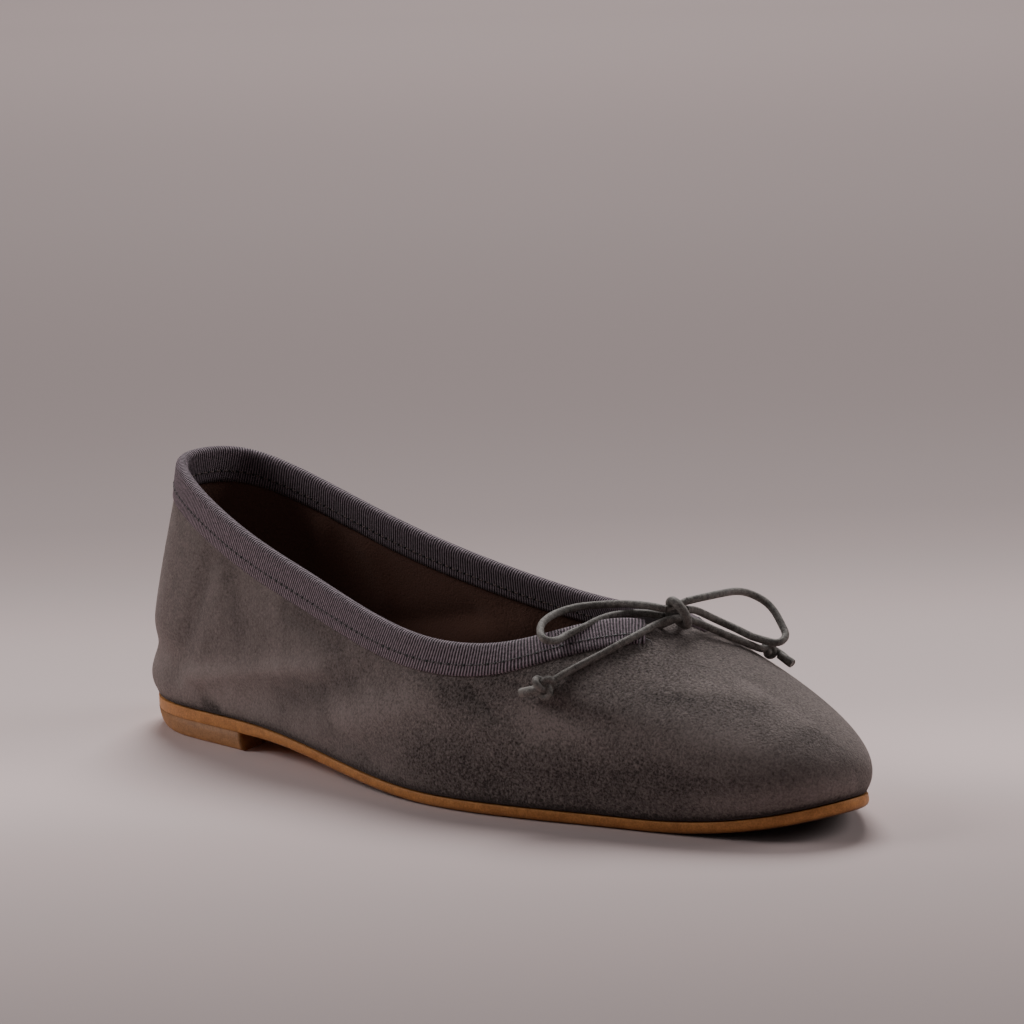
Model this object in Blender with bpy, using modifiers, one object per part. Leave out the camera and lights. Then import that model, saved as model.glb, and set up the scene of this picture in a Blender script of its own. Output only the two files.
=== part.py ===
"""A ballet flat, right foot: hollow suede upper, ribbon binding, thin leather sole, low heel, cord bow.

Metres, +Z up, +X towards the toe, -Y towards the shoe's outer side, the floor at Z = 0. The shapes
are worked out from the back of the heel, and at the end all of them move to be centred on the origin.
"""
import bpy
import bmesh
import numpy as np
from math import cos, pi, radians, sin
from mathutils import Matrix

# Driving dimensions, in metres
SOLE_LENGTH = 0.2450
BALL_WIDTH = 0.0785
COLLAR_HEIGHT = 0.0733
OUTSOLE_THICKNESS = 0.0032
HEEL_HEIGHT = 0.0053
HEEL_LENGTH = 0.0510
TOE_SPRING = 0.0064
UPPER_WALL = 0.0015
INSOLE_THICKNESS = 0.0020
RIBBON_THICKNESS = 0.0007
RIBBON_DROP = 0.0082
RIBBON_END_GAP = 0.0110
CORD_DIAMETER = 0.0020
BOW_KNOT_SIZE = (0.0062, 0.0062, 0.0076)
END_KNOT_WIDTH = 0.0056
CLEARANCE = 0.0003

# Smaller sizes of the sole and its edge
FLAT_START = 0.56 * SOLE_LENGTH
FLAT_END = 0.80 * SOLE_LENGTH
SPRING_POWER = 2.1
EDGE_ROUND = 0.0006
FEATHER_INSET = 0.0004
FEATHER_ROUND = 0.0012
LASTING_MARGIN = 0.0080
INSOLE_INSET = 0.0030
HEEL_BACK_TAPER = 0.0022
HEEL_SIDE_TAPER = 0.0012
HEEL_BREAST_HOLLOW = 0.0040

# Facets round the shoe, up the upper's wall, and along and across the sole and the heel
RING_COLUMNS = 64
WALL_ROWS = 8
WALL_BUNCHING = 1.35
END_BUNCHING = 0.06
SOLE_STRIPS = 4
SOLE_STATIONS = 36
HEEL_STRIPS = 8
HEEL_STATIONS = 12
HEEL_BUNCHING = 1.4
SPLINE_SAMPLES = 24
EDGE_SAMPLES = 200
MERGE = 1e-6

# The bow's cord, in millimetres from the heel's back: each strand leaves the middle knot, at the
# throat. An end knot has its centre and the tip of its stub. Its profile has distances along it and
# widths, both as shares of its own half width.
MM = 0.001
BOW_KNOT_CENTRE = (185.5, 1.5, 50.4)
CORD_ROUTES = {
    "bow_loop_left": (
        (183.4, -1.2, 51.6), (180.2, -3.1, 52.3), (175.6, -4.1, 52.4), (169.6, -5.2, 52.0),
        (165.0, -7.2, 51.5), (161.6, -11.0, 51.2), (160.0, -16.5, 50.6), (161.0, -23.3, 49.7),
        (164.2, -28.6, 48.1), (167.6, -30.4, 46.7), (168.3, -27.2, 46.0), (167.8, -22.6, 46.5),
        (169.2, -18.3, 47.7), (170.6, -13.6, 49.2), (172.2, -7.6, 49.9), (175.8, -2.8, 49.9),
        (181.9, 0.0, 49.6)),
    "bow_loop_right": (
        (185.2, 5.1, 52.9), (186.8, 9.8, 53.3), (187.6, 16.2, 53.3), (187.6, 22.6, 52.7),
        (188.6, 27.2, 51.1), (191.4, 29.0, 49.2), (195.0, 28.8, 46.6), (198.2, 27.8, 43.7),
        (200.6, 26.0, 41.6), (200.6, 23.2, 40.6), (197.6, 21.8, 40.9), (194.2, 20.6, 41.7),
        (190.2, 19.7, 43.1), (185.9, 18.1, 44.9), (184.4, 14.2, 47.2), (184.1, 9.5, 49.5),
        (184.6, 5.2, 50.6)),
    "bow_end_left": (
        (184.2, -1.7, 48.9), (183.3, -5.4, 48.1), (183.1, -11.1, 46.9), (181.4, -17.0, 44.9),
        (178.4, -21.6, 42.4), (175.6, -26.2, 40.2), (172.3, -32.2, 37.1)),
    "bow_end_right": (
        (185.6, 4.9, 48.1), (186.5, 7.6, 46.9), (188.2, 10.4, 45.2), (190.4, 13.2, 43.4),
        (192.8, 17.0, 41.2), (194.6, 20.6, 39.2), (195.3, 22.4, 38.4)),
}
END_KNOTS = {
    "end_knot_left": ((171.0, -34.9, 35.6), (164.8, -37.4, 33.4)),
    "end_knot_right": ((195.5, 25.7, 37.8), (201.6, 27.5, 34.2)),
}
END_KNOT_PROFILE = ((-1.00, 0.30), (-0.75, 0.70), (-0.40, 0.94), (0.00, 1.00), (0.40, 0.94), (0.75, 0.70))
CORD_STEP = 0.0034
CORD_SIDES_RESOLUTION = 2
KNOT_SEGMENTS = 14
KNOT_RINGS = 8

# Sections round the shoe, from the back of the heel along the outer side to the toe tip, and back
# along the inner side, as shares of the sizes below. edge is the sole's edge and top the collar. The
# upper leaves the sole at rise degrees above level and meets the collar falling outwards at fall
# degrees, and the reaches are the lengths of its curve's two handles.
COLUMNS = {
    "edge_x": SOLE_LENGTH, "edge_y": BALL_WIDTH,
    "top_x": SOLE_LENGTH, "top_y": BALL_WIDTH, "top_z": COLLAR_HEIGHT,
    "rise": radians(1), "rise_reach": COLLAR_HEIGHT, "fall": radians(1), "fall_reach": COLLAR_HEIGHT,
}
SECTIONS = {
    "heel back": (0.000, 0.000, 0.032, 0.000, 1.000, 72, 0.22, 81, 0.27),
    "outer heel round": (0.045, -0.253, 0.053, -0.146, 0.970, 68, 0.18, 80, 0.23),
    "outer heel": (0.160, -0.345, 0.163, -0.280, 0.853, 77, 0.22, 79, 0.20),
    "outer waist": (0.360, -0.455, 0.322, -0.362, 0.703, 81, 0.23, 74, 0.17),
    "outer joint": (0.580, -0.545, 0.504, -0.447, 0.579, 80, 0.22, 64, 0.17),
    "outer ball": (0.760, -0.424, 0.606, -0.387, 0.573, 78, 0.22, 50, 0.20),
    "outer toe": (0.900, -0.308, 0.670, -0.268, 0.614, 71, 0.23, 33, 0.26),
    "outer toe round": (0.972, -0.183, 0.722, -0.117, 0.634, 63, 0.23, 24, 0.31),
    "toe tip": (1.000, 0.070, 0.738, 0.018, 0.636, 60, 0.25, 22, 0.35),
    "inner toe round": (0.972, 0.184, 0.722, 0.146, 0.634, 59, 0.23, 24, 0.31),
    "inner toe": (0.900, 0.354, 0.670, 0.279, 0.614, 69, 0.23, 33, 0.26),
    "inner ball": (0.760, 0.490, 0.606, 0.375, 0.573, 78, 0.22, 50, 0.20),
    "inner joint": (0.580, 0.457, 0.504, 0.392, 0.579, 80, 0.22, 64, 0.17),
    "inner waist": (0.360, 0.338, 0.322, 0.321, 0.703, 81, 0.23, 74, 0.17),
    "inner heel": (0.160, 0.336, 0.163, 0.293, 0.853, 77, 0.22, 79, 0.20),
    "inner heel round": (0.045, 0.251, 0.053, 0.205, 0.970, 70, 0.19, 80, 0.23),
}
TOE_ROW = list(SECTIONS).index("toe tip")


def closed_spline(knots, values, period, at):
    """Cubic spline through a closed ring of rows, read at the given places along it."""
    count = len(knots)
    span = np.diff(np.append(knots, knots[0] + period))
    matrix = np.zeros((count, count))
    slopes = np.zeros_like(values)
    for i in range(count):
        after = (i + 1) % count
        matrix[i, i - 1] += span[i - 1]
        matrix[i, i] += 2 * (span[i - 1] + span[i])
        matrix[i, after] += span[i]
        slopes[i] = 6 * ((values[after] - values[i]) / span[i] - (values[i] - values[i - 1]) / span[i - 1])
    bend = np.linalg.solve(matrix, slopes)
    at = np.mod(at, period)
    low = np.clip(np.searchsorted(knots, at, side="right") - 1, 0, count - 1)
    high = (low + 1) % count
    step = span[low][:, None]
    done = (at - knots[low])[:, None]
    left = step - done
    curve = (bend[low] * left ** 3 + bend[high] * done ** 3) / (6 * step)
    curve += (values[low] / step - bend[low] * step / 6) * left
    curve += (values[high] / step - bend[high] * step / 6) * done
    return curve


def section_ring():
    """The table in metres and radians, with each row's distance along the sole's edge."""
    rows = np.array(list(SECTIONS.values()), float) * np.array(list(COLUMNS.values()))
    edge = rows[:, :2]
    chords = np.linalg.norm(np.roll(edge, -1, axis=0) - edge, axis=1)
    knots = np.concatenate([[0.0], np.cumsum(chords)])
    return rows, knots[:-1], knots[-1]


ROWS, KNOTS, PERIMETER = section_ring()


def sections_at(places):
    """Sections at distances along the edge, with the edge's outward direction in plan."""
    values = closed_spline(KNOTS, ROWS, PERIMETER, places)
    probe = PERIMETER / EDGE_SAMPLES / 4
    ahead = closed_spline(KNOTS, ROWS, PERIMETER, places + probe)[:, :2]
    behind = closed_spline(KNOTS, ROWS, PERIMETER, places - probe)[:, :2]
    along = (ahead - behind) / np.linalg.norm(ahead - behind, axis=1, keepdims=True)
    outward = np.stack([along[:, 1], -along[:, 0], np.zeros(len(places))], axis=1)
    return values, outward


def side_places(count):
    """Distances along the edge from the heel's back to the toe tip, closer together at both ends."""
    share = np.linspace(0, 1, count + 1)
    return (share - END_BUNCHING * np.sin(2 * pi * share)) * KNOTS[TOE_ROW]


def ring_places(columns):
    """Distances once round the shoe, from the heel's back by the outer side and home by the inner."""
    outer = side_places(columns // 2)
    toe = KNOTS[TOE_ROW]
    inner = toe + (PERIMETER - toe) * (1 - outer[::-1] / toe)
    return np.concatenate([outer, inner[1:]])


def underside(x):
    """Height and slope of the outsole's underside: heel seat, arch, flat forefoot, toe spring."""
    x = np.asarray(x, float)
    arch = np.clip((x - HEEL_LENGTH) / (FLAT_START - HEEL_LENGTH), 0, 1)
    height = HEEL_HEIGHT * (1 - arch ** 2 * (3 - 2 * arch))
    slope = -HEEL_HEIGHT * 6 * arch * (1 - arch) / (FLAT_START - HEEL_LENGTH)
    toe = np.clip((x - FLAT_END) / (SOLE_LENGTH - FLAT_END), 0, None)
    height = height + TOE_SPRING * toe ** SPRING_POWER
    slope = slope + TOE_SPRING * SPRING_POWER * toe ** (SPRING_POWER - 1) / (SOLE_LENGTH - FLAT_END)
    return height, np.arctan(slope)


def above_sole(plan, lift):
    """Points a given distance above the outsole's underside, measured square to it."""
    height, tilt = underside(plan[..., 0])
    x = plan[..., 0] - np.sin(tilt) * lift
    return np.stack([x, plan[..., 1], height + np.cos(tilt) * lift], axis=-1)


def upper_wall(places, samples=SPLINE_SAMPLES):
    """The upper's outer face as curves from the sole up to the collar, one for each place."""
    values, outward = sections_at(places)
    seat = OUTSOLE_THICKNESS + CLEARANCE + FEATHER_ROUND
    start = above_sole(values[:, :2], seat)
    end = values[:, 2:5]
    up = np.array([0, 0, 1.0])
    rise, rise_reach, fall, fall_reach = (values[:, k:k + 1] for k in range(5, 9))
    start_handle = start + rise_reach * (np.cos(rise) * outward + np.sin(rise) * up)
    end_handle = end + fall_reach * (np.cos(fall) * outward - np.sin(fall) * up)
    t = np.linspace(0, 1, samples + 1)[None, :, None]
    points = (start, start_handle, end_handle, end)
    weights = ((1 - t) ** 3, 3 * (1 - t) ** 2 * t, 3 * (1 - t) * t ** 2, t ** 3)
    return sum(w * p[:, None, :] for w, p in zip(weights, points)), values, outward


def along_wall(curves, lengths_from_top, rows):
    """Points up each curve: rows closer together near the sole, then the given lengths from the top."""
    picked = []
    for curve in curves:
        steps = np.linalg.norm(np.diff(curve, axis=0), axis=1)
        travel = np.concatenate([[0.0], np.cumsum(steps)])
        low = np.linspace(0, 1, rows + 1)[:-1] ** WALL_BUNCHING * (travel[-1] - lengths_from_top[0])
        places = np.concatenate([low, travel[-1] - np.array(lengths_from_top)])
        picked.append(np.stack([np.interp(places, travel, curve[:, k]) for k in range(3)], axis=1))
    return np.array(picked)


def wall_frame(columns):
    """Outward normals of the wall on a closed ring of columns, and the direction up it at the top."""
    round_way = np.roll(columns, -1, axis=0) - np.roll(columns, 1, axis=0)
    up_way = np.gradient(columns, axis=1)
    normal = np.cross(round_way, up_way)
    normal /= np.linalg.norm(normal, axis=2, keepdims=True)
    rise = up_way[:, -1] / np.linalg.norm(up_way[:, -1], axis=1, keepdims=True)
    return normal, rise


def upper_columns():
    """Outer face of the whole upper: turned-in margin, rounded feather edge, wall up to the collar."""
    places = ring_places(RING_COLUMNS)[:-1]
    curves, values, outward = upper_wall(places)
    lengths = (RIBBON_DROP, RIBBON_DROP / 2, 0.0)
    wall = along_wall(curves, lengths, WALL_ROWS)
    seat = OUTSOLE_THICKNESS + CLEARANCE
    insets = ((LASTING_MARGIN, 0.0), (FEATHER_INSET + FEATHER_ROUND, 0.0), (FEATHER_INSET, FEATHER_ROUND / 3))
    foot = []
    for inset, lift in insets:
        foot.append(above_sole((values[:, :2] - inset * outward[:, :2]), seat + lift))
    return np.concatenate([np.stack(foot, axis=1), wall], axis=1), wall


def binding_columns():
    """Middle of the ribbon's thickness: down the outside, over the collar's edge, down the inside.

    The ribbon runs once round the collar and stops short of the throat's middle at both ends.
    """
    wall = upper_columns()[1]
    normal, rise = wall_frame(wall)
    wall, normal, rise = open_at_throat(wall, normal, rise)
    wall, normal = wall[:, -3:], normal[:, -3:]
    outer = wall + normal * (CLEARANCE + RIBBON_THICKNESS / 2)
    inner = wall - normal * (UPPER_WALL + CLEARANCE + RIBBON_THICKNESS / 2)
    centre = wall[:, -1] - normal[:, -1] * UPPER_WALL / 2
    radius = UPPER_WALL / 2 + CLEARANCE + RIBBON_THICKNESS / 2
    fold = []
    for angle in (pi / 4, pi / 2, 3 * pi / 4):
        fold.append(centre + radius * (cos(angle) * normal[:, -1] + sin(angle) * rise))
    return np.concatenate([outer, np.stack(fold, axis=1), inner[:, ::-1]], axis=1)


def open_at_throat(*rings):
    """Turns closed rings of columns into open ones that start and end beside the throat's middle."""
    wall = rings[0]
    throat = RING_COLUMNS // 2
    order = (np.arange(RING_COLUMNS + 1) + throat) % RING_COLUMNS
    top = wall[order, -1]
    steps = np.linalg.norm(np.diff(top, axis=0), axis=1)
    travel = np.concatenate([[0.0], np.cumsum(steps)])
    first, last = RIBBON_END_GAP / 2, travel[-1] - RIBBON_END_GAP / 2
    places = np.concatenate([[first], travel[(travel > first) & (travel < last)], [last]])
    opened = []
    for ring in rings:
        flat = ring[order].reshape(len(order), -1)
        cut = np.stack([np.interp(places, travel, flat[:, k]) for k in range(flat.shape[1])], axis=1)
        opened.append(cut.reshape((len(places),) + ring.shape[1:]))
    return opened


def smooth_route(points, step):
    """Even points on a natural cubic curve through a route's own points."""
    points = np.array(points, float) * MM
    steps = np.linalg.norm(np.diff(points, axis=0), axis=1)
    knots = np.concatenate([[0.0], np.cumsum(steps)])
    count = len(knots)
    matrix = np.eye(count)
    slopes = np.zeros_like(points)
    for i in range(1, count - 1):
        matrix[i, i - 1:i + 2] = (steps[i - 1], 2 * (steps[i - 1] + steps[i]), steps[i])
        slopes[i] = 6 * ((points[i + 1] - points[i]) / steps[i] - (points[i] - points[i - 1]) / steps[i - 1])
    bend = np.linalg.solve(matrix, slopes)
    at = np.linspace(0, knots[-1], max(int(round(knots[-1] / step)), 4) + 1)
    low = np.clip(np.searchsorted(knots, at, side="right") - 1, 0, count - 2)
    span = steps[low][:, None]
    done = (at - knots[low])[:, None]
    left = span - done
    curve = (bend[low] * left ** 3 + bend[low + 1] * done ** 3) / (6 * span)
    curve += (points[low] / span - bend[low] * span / 6) * left
    curve += (points[low + 1] / span - bend[low + 1] * span / 6) * done
    return curve


def material(name, colour, roughness):
    """A Principled material for one sub-part."""
    made = bpy.data.materials.new(name)
    made.use_nodes = True
    shader = made.node_tree.nodes["Principled BSDF"]
    shader.inputs["Base Color"].default_value = (*colour, 1.0)
    shader.inputs["Roughness"].default_value = roughness
    shader.inputs["Metallic"].default_value = 0.0
    return made


def finish_object(name, mesh, surface):
    """Links a mesh as a named, smooth-shaded object."""
    mesh.shade_smooth()
    mesh.materials.append(surface)
    made = bpy.data.objects.new(name, mesh)
    SHOE.objects.link(made)
    return made


def grid_mesh(name, points, closed):
    """A quad grid laid on an array of points; a closed one joins its last column to its first."""
    if closed:
        points = np.concatenate([points, points[:1]], axis=0)
    columns, rows = points.shape[0] - 1, points.shape[1] - 1
    bm = bmesh.new()
    bmesh.ops.create_grid(bm, x_segments=columns, y_segments=rows, size=1.0)
    for vertex in bm.verts:
        i = round((vertex.co.x + 1) / 2 * columns)
        j = round((vertex.co.y + 1) / 2 * rows)
        vertex.co = points[i, j]
    bmesh.ops.remove_doubles(bm, verts=bm.verts[:], dist=MERGE)
    mesh = bpy.data.meshes.new(name)
    bm.to_mesh(mesh)
    bm.free()
    return mesh


def thicken(made, thickness, offset):
    """Gives an open surface its wall."""
    wall = made.modifiers.new("Wall", "SOLIDIFY")
    wall.thickness = thickness
    wall.offset = offset
    wall.use_even_offset = True


def round_edges(made, width):
    """Rounds the sharp edges of a solid."""
    bevel = made.modifiers.new("Rounded edge", "BEVEL")
    bevel.width = width
    bevel.segments = 2
    bevel.limit_method = "ANGLE"
    bevel.angle_limit = radians(50)


def edge_places(stations):
    """Matching places of the sole's outer and inner edges, each from the heel's back to the toe tip."""
    outer = side_places(stations)
    toe = KNOTS[TOE_ROW]
    return outer, PERIMETER - (PERIMETER - toe) * outer / toe


def sole_plan(inset, stations, strips):
    """Plan of a sole layer: lines across it between matching places of its outer and inner edges."""
    edges = []
    for places in edge_places(stations):
        values, outward = sections_at(places)
        edges.append(values[:, :2] - inset * outward[:, :2])
    share = np.linspace(0, 1, strips + 1)[None, :, None]
    return edges[0][:, None] * (1 - share) + edges[1][:, None] * share


def make_upper():
    points, _ = upper_columns()
    mesh = grid_mesh("upper", points, closed=True)
    made = finish_object("upper", mesh, material("suede", (0.070, 0.050, 0.046), 0.95))
    thicken(made, UPPER_WALL, -1.0)


def make_binding():
    mesh = grid_mesh("binding", binding_columns(), closed=False)
    made = finish_object("binding", mesh, material("ribbon", (0.065, 0.050, 0.058), 0.85))
    thicken(made, RIBBON_THICKNESS, 0.0)


def make_outsole():
    plan = sole_plan(0.0, SOLE_STATIONS, SOLE_STRIPS)
    mesh = grid_mesh("outsole", above_sole(plan, 0.0), closed=False)
    made = finish_object("outsole", mesh, material("sole leather", (0.250, 0.120, 0.040), 0.55))
    thicken(made, OUTSOLE_THICKNESS, 1.0)
    round_edges(made, EDGE_ROUND)


def make_insole():
    plan = sole_plan(INSOLE_INSET, SOLE_STATIONS // 2, SOLE_STRIPS)
    lift = OUTSOLE_THICKNESS + CLEARANCE + UPPER_WALL + CLEARANCE
    mesh = grid_mesh("insole", above_sole(plan, lift), closed=False)
    made = finish_object("insole", mesh, material("sock leather", (0.060, 0.035, 0.022), 0.70))
    thicken(made, INSOLE_THICKNESS, 1.0)


def make_heel():
    """The heel's top follows the outsole; its foot is drawn in at the back and sides."""
    stations = np.linspace(0, 1, HEEL_STATIONS + 1) ** HEEL_BUNCHING
    edges = []
    for side in edge_places(EDGE_SAMPLES):
        breast = np.interp(HEEL_LENGTH, sections_at(side)[0][:, 0], side)
        edges.append(sections_at(side[0] + stations * (breast - side[0]))[0][:, :2])
    outer, inner = edges
    share = np.linspace(0, 1, HEEL_STRIPS + 1)[None, :, None]
    plan = outer[:, None] * (1 - share) + inner[:, None] * share
    across = 2 * share[..., 0] - 1
    plan[..., 0] -= HEEL_BREAST_HOLLOW * (1 - across ** 2) * stations[:, None] ** 3
    top = np.concatenate([plan, np.full(plan.shape[:2] + (1,), HEEL_HEIGHT - CLEARANCE)], axis=2)
    bm = bmesh.new()
    bm.from_mesh(grid_mesh("heel seat", top, closed=False))
    lowered = bmesh.ops.extrude_face_region(bm, geom=bm.faces[:])
    half_width = np.abs(outer[:, 1]).max()
    for vertex in (item for item in lowered["geom"] if isinstance(item, bmesh.types.BMVert)):
        back = 1 - vertex.co.x / HEEL_LENGTH
        vertex.co.x += HEEL_BACK_TAPER * max(back, 0) ** 2
        vertex.co.y *= 1 - HEEL_SIDE_TAPER / half_width
        vertex.co.z = 0
    bmesh.ops.recalc_face_normals(bm, faces=bm.faces[:])
    mesh = bpy.data.meshes.new("heel")
    bm.to_mesh(mesh)
    bm.free()
    finish_object("heel", mesh, material("heel leather", (0.300, 0.180, 0.095), 0.60))


def tube(name, points, radii, surface):
    """A round solid along a line of points, with its own radius at each of them."""
    curve = bpy.data.curves.new(name, "CURVE")
    curve.dimensions = "3D"
    curve.bevel_depth = 1.0
    curve.bevel_resolution = CORD_SIDES_RESOLUTION
    curve.use_fill_caps = True
    spline = curve.splines.new("POLY")
    spline.points.add(len(points) - 1)
    for item, point, radius in zip(spline.points, points, radii):
        item.co = (*point, 1.0)
        item.radius = radius
    curve.materials.append(surface)
    made = bpy.data.objects.new(name, curve)
    SHOE.objects.link(made)


def make_bow():
    """The bow's middle knot, two loops, two ends, and the knot with a stub at the end of each."""
    cord = material("cord leather", (0.060, 0.062, 0.058), 0.60)
    bm = bmesh.new()
    bmesh.ops.create_uvsphere(bm, u_segments=KNOT_SEGMENTS, v_segments=KNOT_RINGS, radius=0.5)
    bmesh.ops.scale(bm, vec=BOW_KNOT_SIZE, verts=bm.verts)
    bmesh.ops.translate(bm, vec=np.array(BOW_KNOT_CENTRE) * MM, verts=bm.verts)
    mesh = bpy.data.meshes.new("bow_knot")
    bm.to_mesh(mesh)
    bm.free()
    finish_object("bow_knot", mesh, cord)
    for name, route in CORD_ROUTES.items():
        points = smooth_route(route, CORD_STEP)
        tube(name, points, [CORD_DIAMETER / 2] * len(points), cord)
    for name, (centre, tip) in END_KNOTS.items():
        centre = np.array(centre) * MM
        way = np.array(tip) * MM - centre
        length = np.linalg.norm(way)
        way /= length
        points = [centre + way * place * END_KNOT_WIDTH / 2 for place, _ in END_KNOT_PROFILE]
        radii = [share * END_KNOT_WIDTH / 2 for _, share in END_KNOT_PROFILE]
        neck = END_KNOT_WIDTH / 2
        for place in (neck, (neck + length) / 2, length):
            points.append(centre + way * place)
            radii.append(CORD_DIAMETER / 2)
        tube(name, points, radii, cord)


def centre_on_origin():
    """Moves all pieces so that the shoe without its cord has its box's middle over the origin."""
    view = bpy.context.evaluated_depsgraph_get()
    corners = []
    for item in SHOE.objects:
        if item.type == "MESH" and item.name != "bow_knot":
            corners += [corner[:] for corner in item.evaluated_get(view).bound_box]
    low, high = np.min(corners, axis=0), np.max(corners, axis=0)
    move = Matrix.Translation((-(low[0] + high[0]) / 2, -(low[1] + high[1]) / 2, -low[2]))
    for item in SHOE.objects:
        item.data.transform(move)


for old in list(bpy.data.objects):
    bpy.data.objects.remove(old)
SHOE = bpy.data.collections.new("ballet flat")
bpy.context.scene.collection.children.link(SHOE)
make_outsole()
make_heel()
make_insole()
make_upper()
make_binding()
make_bow()
centre_on_origin()
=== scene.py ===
"""A suede ballet flat with a ribbon-bound collar and a bow of leather cord, on a plain pale floor.

Metres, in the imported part's frame: +X towards the toe, -Y towards the shoe's outer side, which the
camera sees, and the floor at Z = 0. MM turns sizes given in millimetres into metres.
"""
import bmesh
import bpy
import numpy as np
from math import cos, pi, radians, sin
from mathutils import Matrix, Vector


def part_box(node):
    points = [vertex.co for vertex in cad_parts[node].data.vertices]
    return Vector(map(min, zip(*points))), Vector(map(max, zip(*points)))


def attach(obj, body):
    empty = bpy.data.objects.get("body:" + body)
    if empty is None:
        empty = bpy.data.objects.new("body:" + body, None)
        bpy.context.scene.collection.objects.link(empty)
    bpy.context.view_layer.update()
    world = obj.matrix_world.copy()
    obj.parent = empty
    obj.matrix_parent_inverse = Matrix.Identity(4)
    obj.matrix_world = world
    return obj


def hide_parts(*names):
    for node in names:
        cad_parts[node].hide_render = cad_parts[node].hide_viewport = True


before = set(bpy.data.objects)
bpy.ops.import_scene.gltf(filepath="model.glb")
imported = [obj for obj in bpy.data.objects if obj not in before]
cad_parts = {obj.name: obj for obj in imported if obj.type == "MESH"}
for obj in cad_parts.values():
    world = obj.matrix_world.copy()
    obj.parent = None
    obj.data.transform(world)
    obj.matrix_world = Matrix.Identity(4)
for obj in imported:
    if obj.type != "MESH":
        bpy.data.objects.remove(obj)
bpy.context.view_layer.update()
MM = 0.001

# Camera. A long lens from a little above the shoe, three quarters round from the heel on the outer
# side, rolled by under two degrees as in the photograph. It aims at a place low in the waist.
BOW_KNOT_CENTRE = (185.5, 1.5, 50.4)
knot_low, knot_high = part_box("bow_knot")
HEEL_BACK = (Vector(knot_low) + Vector(knot_high)) / 2 - Vector(BOW_KNOT_CENTRE) * MM
VIEW_AZIMUTH = radians(43.484)
VIEW_ELEVATION = radians(11.338)
VIEW_ROLL = radians(-1.684)
VIEW_DISTANCE = 1800 * MM
VIEW_AIM = Vector((125, 0, 25)) * MM
VIEW_SLIDE = (1.05 * MM, 44.48 * MM)
LENS_MM = 237.46
SENSOR_MM = 36.0
CLIP_START = 0.05
CLIP_END = 50.0


def placed(name, data):
    """A new object, linked to the scene."""
    made = bpy.data.objects.new(name, data)
    bpy.context.scene.collection.objects.link(made)
    return made


flat_back = Vector((sin(VIEW_AZIMUTH), -cos(VIEW_AZIMUTH), 0.0))
view_back = flat_back * cos(VIEW_ELEVATION) + Vector((0, 0, sin(VIEW_ELEVATION)))
level_right = Vector((cos(VIEW_AZIMUTH), sin(VIEW_AZIMUTH), 0.0))
level_up = view_back.cross(level_right)
view_right = level_right * cos(VIEW_ROLL) + level_up * sin(VIEW_ROLL)
view_up = level_up * cos(VIEW_ROLL) - level_right * sin(VIEW_ROLL)
view_place = HEEL_BACK + VIEW_AIM + view_back * VIEW_DISTANCE
view_place += view_right * VIEW_SLIDE[0] + view_up * VIEW_SLIDE[1]
camera_data = bpy.data.cameras.new("studio_camera")
camera_data.lens = LENS_MM
camera_data.sensor_width = SENSOR_MM
camera_data.clip_start = CLIP_START
camera_data.clip_end = CLIP_END
camera = placed("studio_camera", camera_data)
turned = Matrix((view_right, view_up, view_back)).transposed()
camera.matrix_world = Matrix.Translation(view_place) @ turned.to_4x4()
bpy.context.scene.camera = camera

# Bow cord. Round leather cord 2 mm thick in a dark grey green, tied in a bow at the throat, with an
# overhand knot near the cut tip of each end. The routes are in millimetres from the heel's back.
CORD_DIAMETER = 2.0 * MM
CORD_DARK = (0.062, 0.054, 0.049)
CORD_COLOUR = (0.290, 0.260, 0.238)
CORD_PALE = (0.280, 0.254, 0.230)
CORD_STEP = 0.7 * MM
CORD_ROUNDNESS = 5
CORD_GRAIN = 4600.0
CORD_WORN = (0.48, 0.98)
CORD_LOOPS = {
    "bow_loop_left": (
        (183.4, -1.2, 51.6), (180.2, -3.1, 52.3), (175.6, -4.1, 52.4), (169.6, -5.2, 52.0),
        (165.0, -7.2, 51.5), (161.6, -11.0, 51.2), (160.0, -16.5, 50.6), (161.0, -23.3, 49.7),
        (164.2, -28.6, 48.1), (167.6, -30.4, 46.7), (168.3, -27.2, 46.0), (167.8, -22.6, 46.5),
        (169.2, -18.3, 47.7), (170.6, -13.6, 49.2), (172.2, -7.6, 49.9), (175.8, -2.8, 49.9),
        (181.9, 0.0, 49.6)),
    "bow_loop_right": (
        (185.2, 5.1, 52.9), (186.8, 9.8, 53.3), (187.6, 16.2, 53.3), (187.6, 22.6, 52.7),
        (188.6, 27.2, 51.1), (191.4, 29.0, 49.2), (195.0, 28.8, 46.6), (198.2, 27.8, 43.7),
        (200.6, 26.0, 41.6), (200.6, 23.2, 40.6), (197.6, 21.8, 40.9), (194.2, 20.6, 41.7),
        (190.2, 19.7, 43.1), (185.9, 18.1, 44.9), (184.4, 14.2, 47.2), (184.1, 9.5, 49.5),
        (184.6, 5.2, 50.6)),
}
CORD_ENDS = {
    "bow_end_left": (
        (184.2, -1.7, 48.9), (183.3, -5.4, 48.1), (183.1, -11.1, 46.9), (181.4, -17.0, 44.9),
        (178.4, -21.6, 42.4), (175.6, -26.2, 40.2), (172.3, -32.2, 37.1), (171.0, -34.9, 35.6),
        (164.8, -37.4, 33.4)),
    "bow_end_right": (
        (185.6, 4.9, 48.1), (186.5, 7.6, 46.9), (188.2, 10.4, 45.2), (190.4, 13.2, 43.4),
        (192.8, 17.0, 41.2), (194.6, 20.6, 39.2), (195.3, 22.4, 38.4), (195.5, 25.7, 37.8),
        (201.6, 27.5, 34.2)),
}
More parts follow.
